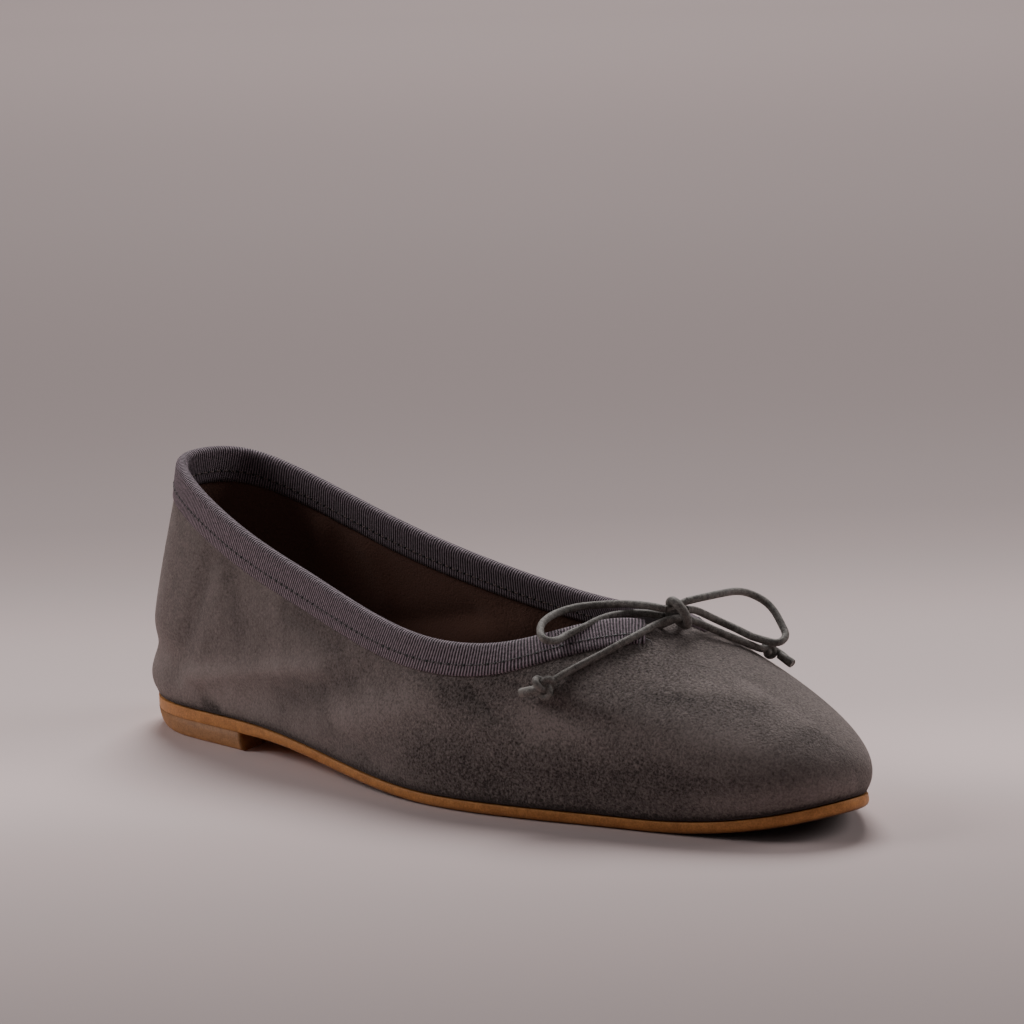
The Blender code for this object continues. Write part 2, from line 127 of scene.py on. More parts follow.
# Strands between the two sides of the middle knot, and from the ribbon's ends up into it
KNOT_STRANDS = (
    ((183.4, -1.2, 51.6), (184.0, 1.8, 52.0), (185.2, 5.1, 52.9)),
    ((181.9, 0.0, 49.6), (183.6, 2.2, 50.3), (184.6, 5.2, 50.6)),
    ((184.2, -1.7, 48.9), (185.4, 1.6, 49.0), (185.6, 4.9, 48.1)),
    ((180.6, -4.0, 46.9), (182.6, -1.6, 47.6), (184.4, 1.4, 48.8)),
    ((181.0, 7.4, 46.9), (182.8, 4.4, 47.7), (184.4, 1.4, 48.8)),
)
WRAP_HALF_LENGTH = 3.7 * MM
WRAP_HALF_DEPTH = 2.9 * MM
WRAP_SPLAY = 0.45
WRAP_SLANT = (0.55, 0.83)
WRAP_THICKNESS = 1.22
KNOT_THICKNESS = 0.92
KNOT_LENGTH_SHARE = 0.8
KNOT_DEPTH_SHARE = 1.2
OVERHAND_KNOTS = {
    # the knot's middle, where its cord comes from, the cut tip, the knot's size, and the tip's surface
    "end_knot_left": ((171.0, -34.9, 35.6), (175.6, -26.2, 40.2), (164.8, -37.4, 33.4), 0.98 * MM, 1),
    "end_knot_right": ((195.5, 25.7, 37.8), (192.8, 17.0, 41.2), (201.6, 27.5, 34.2), 0.66 * MM, 0),
}
STUB_SHARES = (0.40, 0.60, 0.80, 0.93, 1.0)
STUB_THICKNESS = (1.04, 1.15, 1.25, 1.28, 1.20)
TURN_POINTS = 48


def travel_along(places):
    """Distance travelled at each of the places."""
    return np.concatenate([[0.0], np.cumsum(np.linalg.norm(np.diff(places, axis=0), axis=1))])


def cubic(values, bend, knots, span, at, low, high):
    """Points of a cubic curve with the given bend at its knots, between its knots low and high."""
    step = span[low][:, None]
    done = (at - knots[low])[:, None]
    left = step - done
    curve = (bend[low] * left ** 3 + bend[high] * done ** 3) / (6 * step)
    curve += (values[low] / step - bend[low] * step / 6) * left
    curve += (values[high] / step - bend[high] * step / 6) * done
    return curve


def route(points, step):
    """Even places on a natural cubic curve through a cord's own points, in metres."""
    points = np.array(points, float) * MM + np.array(HEEL_BACK)
    knots = travel_along(points)
    steps = np.diff(knots)
    count = len(knots)
    matrix = np.eye(count)
    slopes = np.zeros_like(points)
    for i in range(1, count - 1):
        matrix[i, i - 1:i + 2] = (steps[i - 1], 2 * (steps[i - 1] + steps[i]), steps[i])
        ahead = (points[i + 1] - points[i]) / steps[i]
        slopes[i] = 6 * (ahead - (points[i] - points[i - 1]) / steps[i - 1])
    bend = np.linalg.solve(matrix, slopes)
    at = np.linspace(0, knots[-1], max(int(round(knots[-1] / step)), 4) + 1)
    low = np.clip(np.searchsorted(knots, at, side="right") - 1, 0, count - 2)
    return cubic(points, bend, knots, steps, at, low, low + 1)


def put_spline(curve, places, thickness=1.0, closed=False):
    """Adds a length of cord through the places, at one share of its thickness or one for each place."""
    spline = curve.splines.new("POLY")
    spline.points.add(len(places) - 1)
    for item, place, share in zip(spline.points, places, np.broadcast_to(thickness, len(places))):
        item.co = (*place, 1.0)
        item.radius = CORD_DIAMETER / 2 * float(share)
    spline.use_cyclic_u = closed
    spline.use_smooth = True


def cord_curve(name, surface):
    curve = bpy.data.curves.new(name, "CURVE")
    curve.dimensions = "3D"
    curve.bevel_depth = 1.0
    curve.bevel_resolution = CORD_ROUNDNESS
    curve.use_fill_caps = True
    curve.materials.append(surface)
    made = placed(name, curve)
    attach(made, "root")
    return made


def new_material(name, roughness, **sockets):
    """A material with one Principled shader, whose plain numbers are set on its own sockets."""
    made = bpy.data.materials.new(name)
    made.use_nodes = True
    shader = made.node_tree.nodes["Principled BSDF"]
    shader.inputs["Roughness"].default_value = roughness
    for socket, value in sockets.items():
        shader.inputs[socket.replace("_", " ")].default_value = value
    return made, shader, made.node_tree


def node(tree, kind, settings=None, **inputs):
    """Adds a shader node, with its settings and the values of its sockets."""
    made = tree.nodes.new("ShaderNode" + kind)
    for key, value in (settings or {}).items():
        setattr(made, key, value)
    for key, value in inputs.items():
        socket = made.inputs[int(key[1:])] if key[1:].isdigit() else made.inputs[key.replace("_", " ")]
        if isinstance(value, bpy.types.NodeSocket):
            tree.links.new(value, socket)
        else:
            socket.default_value = value
    return made


def maths(tree, operation, *values):
    """Adds a maths node, and gives its result."""
    inputs = {f"_{index}": value for index, value in enumerate(values)}
    return node(tree, "Math", {"operation": operation}, **inputs).outputs[0]


def spread(tree, value, low, high, **results):
    """Spreads a range of values out to 0 to 1, or to other results."""
    return node(tree, "MapRange", Value=value, From_Min=low, From_Max=high, **results).outputs[0]


def object_place(tree):
    return node(tree, "TexCoord").outputs["Object"]


def new_group(name, given, results):
    """A node group with its sockets: the group, what it is given, and what it puts out."""
    group = bpy.data.node_groups.new(name, "ShaderNodeTree")
    for socket, kind in given.items():
        group.interface.new_socket(socket, in_out="INPUT", socket_type=kind)
    for socket in results:
        group.interface.new_socket(socket, in_out="OUTPUT", socket_type="NodeSocketFloat")
    return group, group.nodes.new("NodeGroupInput").outputs, group.nodes.new("NodeGroupOutput").inputs


def grain_group():
    """Fine leather grain: a light and dark mask and a height, both from cells and cloud noise."""
    sockets = {"Scale": "NodeSocketFloat", "Vector": "NodeSocketVector"}
    group, given, result = new_group("leather_grain", sockets, ("Mask", "Height"))
    cells = node(group, "TexVoronoi", {"feature": "SMOOTH_F1"}, Vector=given["Vector"],
                 Scale=given["Scale"], Smoothness=0.6)
    coarser = maths(group, "MULTIPLY", given["Scale"], 0.18)
    cloud = node(group, "TexNoise", Vector=given["Vector"], Scale=coarser, Detail=6.0, Roughness=0.6)
    both = maths(group, "MULTIPLY_ADD", cells.outputs["Distance"], 0.5, cloud.outputs["Fac"])
    group.links.new(cloud.outputs["Fac"], result["Mask"])
    group.links.new(both, result["Height"])
    return group


LEATHER_GRAIN = grain_group()


def colour_and_bump(surface, shader, mask, dark, light, height, distance, strength):
    """Mixes two colours by a mask and feeds a height to the shader's normal."""
    tree = surface.node_tree
    mixed = node(tree, "Mix", {"data_type": "RGBA"}, _0=mask, _6=(*dark, 1), _7=(*light, 1))
    tree.links.new(mixed.outputs[2], shader.inputs["Base Color"])
    bump = node(tree, "Bump", Height=height, Distance=distance, Strength=strength)
    tree.links.new(bump.outputs["Normal"], shader.inputs["Normal"])
    return surface


def fine_grain(tree, scale):
    """The fine leather grain's mask and height, at a scale."""
    return node(tree, "Group", {"node_tree": LEATHER_GRAIN}, Scale=scale, Vector=object_place(tree)).outputs


def cord_material(name, dark, light):
    surface, shader, tree = new_material(name, 0.68, Specular_IOR_Level=0.4)
    height = fine_grain(tree, CORD_GRAIN)["Height"]
    worn = spread(tree, height, *CORD_WORN)
    return colour_and_bump(surface, shader, worn, dark, light, height, distance=0.20 * MM, strength=0.75)


CORD_LEATHER = cord_material("cord_leather", CORD_DARK, CORD_COLOUR)
CUT_LEATHER = cord_material("cord_cut_end", CORD_COLOUR, CORD_PALE)


def wrap_turn(centre):
    """The turn of cord that holds the bow, slanting from the upper left to the lower right."""
    slant = view_right * WRAP_SLANT[0] - view_up * WRAP_SLANT[1]
    aside = view_right * WRAP_SLANT[1] + view_up * WRAP_SLANT[0]
    front = (view_back + aside * WRAP_SPLAY).normalized()
    long, deep = slant * WRAP_HALF_LENGTH, front * WRAP_HALF_DEPTH
    angles = [2 * pi * i / TURN_POINTS for i in range(TURN_POINTS)]
    return [centre + long * cos(a) + deep * sin(a) for a in angles]


def overhand_turns(centre, came_from, size):
    """An overhand knot pulled tight: three lobes round the line of the cord."""
    along = (centre - came_from).normalized()
    side = along.cross(view_back).normalized()
    out = side.cross(along)
    places = []
    for i in range(TURN_POINTS * 2):
        a = pi * i / TURN_POINTS
        across = side * (sin(a) + 2 * sin(2 * a))
        length = along * KNOT_LENGTH_SHARE * (cos(a) - 2 * cos(2 * a))
        places.append(centre + (across + length - out * KNOT_DEPTH_SHARE * sin(3 * a)) * size)
    return places


def shoe_place(point):
    return Vector(point) * MM + HEEL_BACK


bow_knot = cord_curve("bow_knot_turns", CORD_LEATHER)
put_spline(bow_knot.data, wrap_turn(shoe_place(BOW_KNOT_CENTRE)), WRAP_THICKNESS, closed=True)
for strand in KNOT_STRANDS:
    put_spline(bow_knot.data, route(strand, CORD_STEP))
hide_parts("bow_knot")

# The knot's own turns, and the cut stub beyond it, which is frayed a little wider, and paler on the left
# end
end_knots = {}
for name, (centre, came_from, tip, size, tip_surface) in OVERHAND_KNOTS.items():
    knot = cord_curve(name + "_turns", CORD_LEATHER)
    knot.data.materials.append(CUT_LEATHER)
    turns = overhand_turns(shoe_place(centre), shoe_place(came_from), size)
    put_spline(knot.data, turns, KNOT_THICKNESS, closed=True)
    stub = [shoe_place(centre).lerp(shoe_place(tip), share) for share in STUB_SHARES]
    put_spline(knot.data, stub, STUB_THICKNESS)
    knot.data.splines[-1].material_index = tip_surface
    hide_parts(name)
    end_knots[name] = knot

for name, points in CORD_LOOPS.items():
    loop = cord_curve(name + "_cord", CORD_LEATHER)
    places = route(points, CORD_STEP)
    put_spline(loop.data, places)
    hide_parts(name)

for name, points in CORD_ENDS.items():
    end = cord_curve(name + "_cord", CORD_LEATHER)
    places = route(points, CORD_STEP)
    put_spline(end.data, places)
    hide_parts(name)
    knot = end_knots[name.replace("bow_end", "end_knot")]

# Outsole. Tan leather 3 mm thick, cut to the last's outline, with an arch and a toe spring, its edge
# trimmed. Painted shade darkens its underside and the rounded lower edge of its forefoot. It is
# cemented on, and painted shade darkens the suede just above the seam where it meets the upper.
SOLE_LENGTH = 245.0 * MM
BALL_WIDTH = 78.5 * MM
COLLAR_HEIGHT = 73.3 * MM
OUTSOLE_THICKNESS = 3.2 * MM
HEEL_HEIGHT = 5.3 * MM
HEEL_LENGTH = 51.0 * MM
TOE_SPRING = 6.4 * MM
FLAT_START = 0.56 * SOLE_LENGTH
FLAT_END = 0.80 * SOLE_LENGTH
SPRING_POWER = 2.1
END_BUNCHING = 0.06
SOLE_STATIONS = 180
SOLE_STRIPS = 14
SOLE_END_FAN = 12.0 * MM
SOLE_CROSS_SHARES = (0.0, 0.35, 0.70)
SOLE_UNDER_EDGE = (
    # section of the rounded lower edge: inset from the outline and height above the underside, in mm
    (1.9, 0.0), (1.3, 0.10), (0.75, 0.36), (0.35, 0.80), (0.10, 1.35), (0.0, 2.0),
)
SOLE_UPPER_EDGE = ((0.0, 3.05), (0.04, 3.15), (0.14, 3.2), (3.0, 3.2))
# painted shade on each row of the rounded lower edge, from the underside up, faded in from the waist
# towards the toe
SOLE_EDGE_PAINTED_SHADE = (1.0, 0.80, 0.45, 0.15, 0.0, 0.0)
SOLE_PAINTED_SHADE_START = 80.0 * MM
SOLE_PAINTED_SHADE_LENGTH = 45.0 * MM
SOLE_PAINTED_SHADOW = (0.020, 0.010, 0.005)
SOLE_TURN_LENGTH = 22.0 * MM
HEEL_SEAT_ROUND = 0.08
SOLE_TAN = (0.660, 0.292, 0.094)
SOLE_TAN_DARK = (0.400, 0.160, 0.048)
SOLE_STREAKS = (0.12, 0.12, 1.0)
SOLE_STREAK_SHARE = 0.30
SOLE_GRAIN = 2200.0
SOLE_WORN = (0.60, 1.15)

# Sections round the shoe, from the back of the heel along the outer side to the toe tip, and back
# along the inner side, as shares of the sizes below. edge is the sole's edge and top the collar. The
# upper leaves the sole at rise degrees above level and meets the collar falling outwards at fall
# degrees, and the reaches are the lengths of its curve's two handles.
COLUMNS = {
    "edge_x": SOLE_LENGTH, "edge_y": BALL_WIDTH,
    "top_x": SOLE_LENGTH, "top_y": BALL_WIDTH, "top_z": COLLAR_HEIGHT,
    "rise": radians(1), "rise_reach": COLLAR_HEIGHT, "fall": radians(1), "fall_reach": COLLAR_HEIGHT,
}
SECTIONS = {
    "heel back": (0.000, 0.000, 0.036, 0.000, 1.000, 74, 0.22, 81, 0.27),
    "outer heel round": (0.045, -0.253, 0.056, -0.146, 0.970, 70, 0.18, 80, 0.23),
    "outer heel": (0.160, -0.345, 0.163, -0.280, 0.853, 77, 0.22, 79, 0.20),
    "outer waist": (0.360, -0.455, 0.322, -0.362, 0.703, 81, 0.23, 74, 0.17),
    "outer joint": (0.580, -0.545, 0.504, -0.447, 0.579, 80, 0.22, 64, 0.17),
    "outer ball": (0.760, -0.424, 0.606, -0.387, 0.573, 78, 0.22, 50, 0.20),
    "outer toe": (0.900, -0.308, 0.670, -0.268, 0.614, 71, 0.23, 33, 0.26),
    "outer toe round": (0.972, -0.183, 0.722, -0.117, 0.634, 63, 0.23, 24, 0.31),
    "toe tip": (1.000, 0.070, 0.738, 0.018, 0.636, 60, 0.25, 22, 0.35),
    "inner toe round": (0.972, 0.184, 0.722, 0.146, 0.634, 59, 0.23, 24, 0.31),
    "inner toe": (0.900, 0.354, 0.670, 0.279, 0.614, 69, 0.23, 33, 0.26),
    "inner ball": (0.760, 0.490, 0.606, 0.375, 0.573, 78, 0.22, 50, 0.20),
    "inner joint": (0.580, 0.457, 0.504, 0.392, 0.579, 80, 0.22, 64, 0.17),
    "inner waist": (0.360, 0.338, 0.322, 0.321, 0.703, 81, 0.23, 74, 0.17),
    "inner heel": (0.160, 0.336, 0.163, 0.293, 0.853, 77, 0.22, 79, 0.20),
    "inner heel round": (0.045, 0.251, 0.056, 0.205, 0.970, 70, 0.19, 80, 0.23),
}
ROWS = np.array(list(SECTIONS.values()), float) * np.array(list(COLUMNS.values()))
CHORDS = np.linalg.norm(np.roll(ROWS[:, :2], -1, axis=0) - ROWS[:, :2], axis=1)
KNOTS = np.concatenate([[0.0], np.cumsum(CHORDS)[:-1]])
PERIMETER = float(CHORDS.sum())
TOE_PLACE = KNOTS[list(SECTIONS).index("toe tip")]
EDGE_PROBE = 0.4 * MM


def closed_spline(knots, values, period, at):
    """Cubic spline through a closed ring of rows, read at the given places along it."""
    count = len(knots)
    span = np.diff(np.append(knots, knots[0] + period))
    matrix = np.zeros((count, count))
    slopes = np.zeros_like(values)
    for i in range(count):
        after = (i + 1) % count
        matrix[i, i - 1] += span[i - 1]
        matrix[i, i] += 2 * (span[i - 1] + span[i])
        matrix[i, after] += span[i]
        ahead = (values[after] - values[i]) / span[i]
        slopes[i] = 6 * (ahead - (values[i] - values[i - 1]) / span[i - 1])
    bend = np.linalg.solve(matrix, slopes)
    at = np.mod(at, period)
    low = np.clip(np.searchsorted(knots, at, side="right") - 1, 0, count - 1)
    return cubic(values, bend, knots, span, at, low, (low + 1) % count)


def sections_at(places):
    """Sections at distances along the edge, with the edge's outward direction in plan."""
    values = closed_spline(KNOTS, ROWS, PERIMETER, places)
    ahead = closed_spline(KNOTS, ROWS, PERIMETER, places + EDGE_PROBE)[:, :2]
    behind = closed_spline(KNOTS, ROWS, PERIMETER, places - EDGE_PROBE)[:, :2]
    along = (ahead - behind) / np.linalg.norm(ahead - behind, axis=1, keepdims=True)
    outward = np.stack([along[:, 1], -along[:, 0], np.zeros(len(places))], axis=1)
    return values, outward


def side_places(count):
    """Distances along the edge from the heel's back to the toe tip, closer together at both ends."""
    share = np.linspace(0, 1, count + 1)
    return (share - END_BUNCHING * np.sin(2 * pi * share)) * TOE_PLACE


def edge_places(stations):
    """Matching places of the sole's outer and inner edges, each from the heel's back to the toe tip."""
    outer = side_places(stations)
    return outer, PERIMETER - (PERIMETER - TOE_PLACE) * outer / TOE_PLACE


def underside(x):
    """Height and slope of the outsole's underside: heel seat, arch, flat forefoot, toe spring."""
    arch = np.clip((x - HEEL_LENGTH) / (FLAT_START - HEEL_LENGTH), 0, 1)
    height = HEEL_HEIGHT * (1 - arch ** 2 * (3 - 2 * arch))
    slope = -HEEL_HEIGHT * 6 * arch * (1 - arch) / (FLAT_START - HEEL_LENGTH)
    toe = np.clip((x - FLAT_END) / (SOLE_LENGTH - FLAT_END), 0, None)
    height = height + TOE_SPRING * toe ** SPRING_POWER
    slope = slope + TOE_SPRING * SPRING_POWER * toe ** (SPRING_POWER - 1) / (SOLE_LENGTH - FLAT_END)
    return height, np.arctan(slope)


def above_sole(plan, lift):
    """Points a given distance above the outsole's underside, measured square to it."""
    height, tilt = underside(plan[..., 0])
    x = plan[..., 0] - np.sin(tilt) * lift
    return np.stack([x, plan[..., 1], height + np.cos(tilt) * lift], axis=-1)


def sole_plan(inset, stations, strips):
    """Plan of a sole layer: lines across it between matching places of its outer and inner edges."""
    edges = []
    for places in edge_places(stations):
        values, outward = sections_at(places)
        edges.append(values[:, :2] - inset * outward[:, :2])
    share = np.linspace(0, 1, strips + 1)[None, :, None]
    return edges[0][:, None] * (1 - share) + edges[1][:, None] * share


def mesh_of(bm, name):
    mesh = bpy.data.meshes.new(name)
    bm.to_mesh(mesh)
    bm.free()
    return mesh


def laid_grid(name, points, closed=False, nap_and_painted_light=None):
    """A quad grid laid on an array of places, with its UV map in metres along and across it."""
    if closed:
        points = np.concatenate([points, points[:1]], axis=0)
    columns, rows = points.shape[0] - 1, points.shape[1] - 1
    along = travel_along(points[:, rows // 2])
    across = np.linalg.norm(np.diff(points, axis=1), axis=2).cumsum(axis=1)
    across = np.concatenate([np.zeros((columns + 1, 1)), across], axis=1)
    bm = bmesh.new()
    bmesh.ops.create_grid(bm, x_segments=columns, y_segments=rows, size=1.0)
    lengths = bm.loops.layers.uv.new("lengths")
    layer = None if nap_and_painted_light is None else bm.verts.layers.float.new("nap_and_painted_light")
    cells = {}
    for vertex in bm.verts:
        cells[vertex] = (round((vertex.co.x + 1) / 2 * columns), round((vertex.co.y + 1) / 2 * rows))
    for face in bm.faces:
        for corner in face.loops:
            i, j = cells[corner.vert]
            corner[lengths].uv = (along[i], across[i, j])
    shift = np.array(HEEL_BACK)
    for vertex, (i, j) in cells.items():
        vertex.co = points[i, j] + shift
        if layer is not None:
            vertex[layer] = nap_and_painted_light[i % len(nap_and_painted_light), j]
    bmesh.ops.remove_doubles(bm, verts=bm.verts[:], dist=1e-6)
    return mesh_of(bm, name)


def place_piece(name, mesh, surface, stands_for=None):
    """Links a piece, shades it smooth, and says what it rides on and what it replaces."""
    mesh.shade_smooth()
    mesh.materials.append(surface)
    made = placed(name, mesh)
    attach(made, "root")
    if stands_for:
        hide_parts(stands_for)
    return made


def thicken(piece, thickness, offset):
    wall = piece.modifiers.new("wall", "SOLIDIFY")
    wall.thickness = thickness
    wall.offset = offset
    wall.use_even_offset = True


def sole_leather(name, dark, light, roughness, band):
    """Leather with a fine speckled grain, its layers showing faintly along the cut edge, and a near-black
    painted shadow mixed in where the mesh's attribute says.
    """
    surface, shader, tree = new_material(name, roughness, Specular_IOR_Level=0.35)
    flat = node(tree, "Mapping", {"vector_type": "POINT"}, Vector=object_place(tree), Scale=SOLE_STREAKS)
    streaks = node(tree, "TexNoise", Vector=flat.outputs[0], Scale=band, Detail=3.0, Roughness=0.6)
    faint = maths(tree, "MULTIPLY", streaks.outputs["Fac"], SOLE_STREAK_SHARE)
    height = maths(tree, "ADD", fine_grain(tree, SOLE_GRAIN)["Height"], faint)
    worn = spread(tree, height, *SOLE_WORN)
    edge = node(tree, "Mix", {"data_type": "RGBA"}, _0=worn, _6=(*dark, 1), _7=(*light, 1))
    # painted shade: the sole's colour mixed towards a near-black contact shadow where the attribute says
    shade = node(tree, "Attribute", {"attribute_name": "nap_and_painted_light"})
    turned = node(tree, "Mix", {"data_type": "RGBA"}, _0=shade.outputs["Fac"], _6=edge.outputs[2],
                  _7=(*SOLE_PAINTED_SHADOW, 1))
    tree.links.new(turned.outputs[2], shader.inputs["Base Color"])
    bump = node(tree, "Bump", Height=height, Distance=0.12 * MM, Strength=0.45)
    tree.links.new(bump.outputs["Normal"], shader.inputs["Normal"])
    return surface


def sole_ring(columns):
    """The outsole as one ring of sections, each from the middle line under it, round its edge, and back,
    with painted shade for each row: dark under it and up its lower edge from the waist on.
    """
    places = ring_places(columns)[:-1]
    values, outward = sections_at(places)
    plan = values[:, :2]
    across = np.roll(plan[::-1], 1, axis=0)
    centre = (plan + across) / 2
    half = centre[:columns // 2 + 1]
    middle_x = np.clip(centre[:, 0], SOLE_END_FAN, SOLE_LENGTH - SOLE_END_FAN)
    middle = np.stack([middle_x, np.interp(middle_x, half[:, 0], half[:, 1])], axis=1)
    turn = np.clip((plan[:, :1] - HEEL_LENGTH) / SOLE_TURN_LENGTH, HEEL_SEAT_ROUND, 1) * outward[:, :2]
    edge = [(plan - inset * MM * turn, lift * MM) for inset, lift in SOLE_UNDER_EDGE]
    edge += [(plan - inset * MM * outward[:, :2], lift * MM) for inset, lift in SOLE_UPPER_EDGE]
    inside = edge[-1][0]
    under = [(middle * (1 - share) + inside * share, 0.0) for share in SOLE_CROSS_SHARES]
    over = [(row, OUTSOLE_THICKNESS) for row, lift in reversed(under)]
    ring = np.stack([above_sole(row, lift) for row, lift in under + [(inside, 0.0)] + edge + over], axis=1)
    # painted shade for each row: full under the sole, fading up its rounded lower edge, and faded in from
    # the waist
    shade = np.zeros(ring.shape[1])
    shade[:len(under) + 1] = 1.0
    shade[len(under) + 1:len(under) + 1 + len(SOLE_EDGE_PAINTED_SHADE)] = SOLE_EDGE_PAINTED_SHADE
    return ring, shade * np.clip((plan[:, :1] - SOLE_PAINTED_SHADE_START) / SOLE_PAINTED_SHADE_LENGTH, 0, 1)


def ring_places(columns):
    """Distances once round the shoe, from the heel's back by the outer side and home by the inner."""
    outer = side_places(columns // 2)
    inner = TOE_PLACE + (PERIMETER - TOE_PLACE) * (1 - outer[::-1] / TOE_PLACE)
    return np.concatenate([outer, inner[1:]])


SOLE_SURFACE = sole_leather("sole_leather", SOLE_TAN_DARK, SOLE_TAN, roughness=0.5, band=1100.0)
sole_sections, sole_painted_shade = sole_ring(SOLE_STATIONS * 2)
outsole_mesh = laid_grid("outsole_leather", sole_sections, closed=True, nap_and_painted_light=sole_painted_shade)
place_piece("outsole_leather", outsole_mesh, SOLE_SURFACE, "outsole")

# Heel. One low block of pressed leather nailed and cemented under the outsole's back, drawn in
# towards the floor at its back and sides, with a hollowed breast. Its edge is finished with the
# outsole's, so the seam between them hardly shows.
HEEL_BACK_TAPER = 2.9 * MM
HEEL_SIDE_TAPER = 1.2 * MM
HEEL_BREAST_HOLLOW = 4.0 * MM
HEEL_SEAM = 0.05 * MM
HEEL_STATIONS = 60
HEEL_STRIPS = 32
HEEL_BUNCHING = 1.4
HEEL_LEVELS = (
    # height above the floor in millimetres, and share of the taper there: the foot is rounded under
    (3.4, 0.16), (1.9, 0.42), (1.0, 0.70), (0.4, 1.00), (0.1, 1.28), (0.0, 1.60),
)
HEEL_TAN = (0.490, 0.228, 0.090)
HEEL_TAN_DARK = (0.290, 0.125, 0.048)


def heel_mesh():
    """The heel's top lies under the outsole; its foot is drawn in at the back and sides."""
    stations = np.linspace(0, 1, HEEL_STATIONS + 1) ** HEEL_BUNCHING
    edges = []
    for side in edge_places(SOLE_STATIONS):
        breast = np.interp(HEEL_LENGTH, sections_at(side)[0][:, 0], side)
        edges.append(sections_at(side[0] + stations * (breast - side[0]))[0][:, :2])
    outer, inner = edges
    share = np.linspace(0, 1, HEEL_STRIPS + 1)[None, :, None]
    plan = outer[:, None] * (1 - share) + inner[:, None] * share
    across = 2 * share[..., 0] - 1
    plan[..., 0] -= HEEL_BREAST_HOLLOW * (1 - across ** 2) * stations[:, None] ** 3
    top = np.concatenate([plan, np.full(plan.shape[:2] + (1,), HEEL_HEIGHT - HEEL_SEAM)], axis=2)
    bm = bmesh.new()
    bm.from_mesh(laid_grid("heel_seat", top))
    foot = bm.faces[:]
    half_width = np.abs(outer[:, 1]).max()
    taken = 0.0
    for height, taper in HEEL_LEVELS:
        lowered = bmesh.ops.extrude_face_region(bm, geom=foot)["geom"]
        foot = [item for item in lowered if isinstance(item, bmesh.types.BMFace)]
        for vertex in (item for item in lowered if isinstance(item, bmesh.types.BMVert)):
            back = max(1 - (vertex.co.x - HEEL_BACK.x) / HEEL_LENGTH, 0)
            vertex.co.x += HEEL_BACK_TAPER * back ** 2 * (taper - taken)
            narrower = 1 - HEEL_SIDE_TAPER / half_width * (taper - taken)
            vertex.co.y = HEEL_BACK.y + (vertex.co.y - HEEL_BACK.y) * narrower
            vertex.co.z = height * MM
        taken = taper
    bmesh.ops.recalc_face_normals(bm, faces=bm.faces[:])
    return mesh_of(bm, "heel_block")


HEEL_SURFACE = sole_leather("heel_leather", HEEL_TAN_DARK, HEEL_TAN, roughness=0.55, band=900.0)
place_piece("heel_block", heel_mesh(), HEEL_SURFACE, "heel")

# Insole. A thin board with a brown leather sock glued over it, laid on the turned-in edge of the
# upper, so its rim shows a fine line all round inside the shoe.
INSOLE_THICKNESS = 2.0 * MM
INSOLE_INSET = 3.0 * MM
SEAM_GAP = 0.3 * MM
UPPER_WALL = 1.5 * MM
SOCK_BROWN = (0.060, 0.036, 0.026)
SOCK_BROWN_DARK = (0.034, 0.020, 0.014)
SOCK_GRAIN = 1300.0
SOCK_WORN = (0.35, 0.68)
INSOLE_ROUNDING = 0.5 * MM
INSOLE_ROUNDING_STEPS = 3
INSOLE_EDGE_ANGLE = radians(50)


def sock_material():
    surface, shader, tree = new_material("sock_leather", 0.72)
    grain = fine_grain(tree, SOCK_GRAIN)
    worn = spread(tree, grain["Mask"], *SOCK_WORN)
    return colour_and_bump(surface, shader, worn, SOCK_BROWN_DARK, SOCK_BROWN, grain["Height"],
                           distance=0.15 * MM, strength=0.5)


insole_lift = OUTSOLE_THICKNESS + SEAM_GAP + UPPER_WALL + SEAM_GAP
insole_plan = sole_plan(INSOLE_INSET, SOLE_STATIONS, SOLE_STRIPS)
insole_mesh = laid_grid("insole_sock", above_sole(insole_plan, insole_lift))
insole = place_piece("insole_sock", insole_mesh, sock_material(), "insole")
thicken(insole, INSOLE_THICKNESS, offset=1.0)
rounding = insole.modifiers.new("rounded_edge", "BEVEL")
rounding.width = INSOLE_ROUNDING
rounding.segments = INSOLE_ROUNDING_STEPS
rounding.limit_method = "ANGLE"
rounding.angle_limit = INSOLE_EDGE_ANGLE

# Upper. One piece of suede lasted over the form and turned in under the insole, left soft, so it
# sags into broad creases at the quarters and round the heel. Its nap is painted lighter and darker in
# patches, partly a random tone and partly painted light and shade: painted highlight on the creases'
# ridges and where light falls, painted shade in their troughs, low on the vamp and along the foot of
# the wall by the sole.
FEATHER_INSET = 0.1 * MM
FEATHER_ROUND = 0.55 * MM
FEATHER_FLATTENING = 0.9
LASTING_MARGIN = 8.0 * MM
SUEDE_THICKNESS = 0.9 * MM
RIBBON_DROP = 8.2 * MM
RIBBON_ROWS = 7
UPPER_COLUMNS = 480
UPPER_ROWS = 64
WALL_BUNCHING = 1.25
CURVE_SAMPLES = 96
THROAT_LIFT = 2.4
THROAT_PLACE = 252.0
THROAT_SPREAD = 18.0
THROAT_REACH = 26.0
THROAT_POWER = 1.5
SUEDE_DARK = (0.050, 0.040, 0.038)
SUEDE_LIGHT = (0.325, 0.267, 0.250)
SUEDE_SHEEN = (0.66, 0.55, 0.52, 1.0)
ROUGHEST_NAP = 0.045
ROUGH_NAP_REACH = (0.015, 0.080)
NAP_ROUGHNESS = (1.50, 0.65)
NAP_FIBRE = 1500.0
NAP_TONES = (-0.020, 0.520)
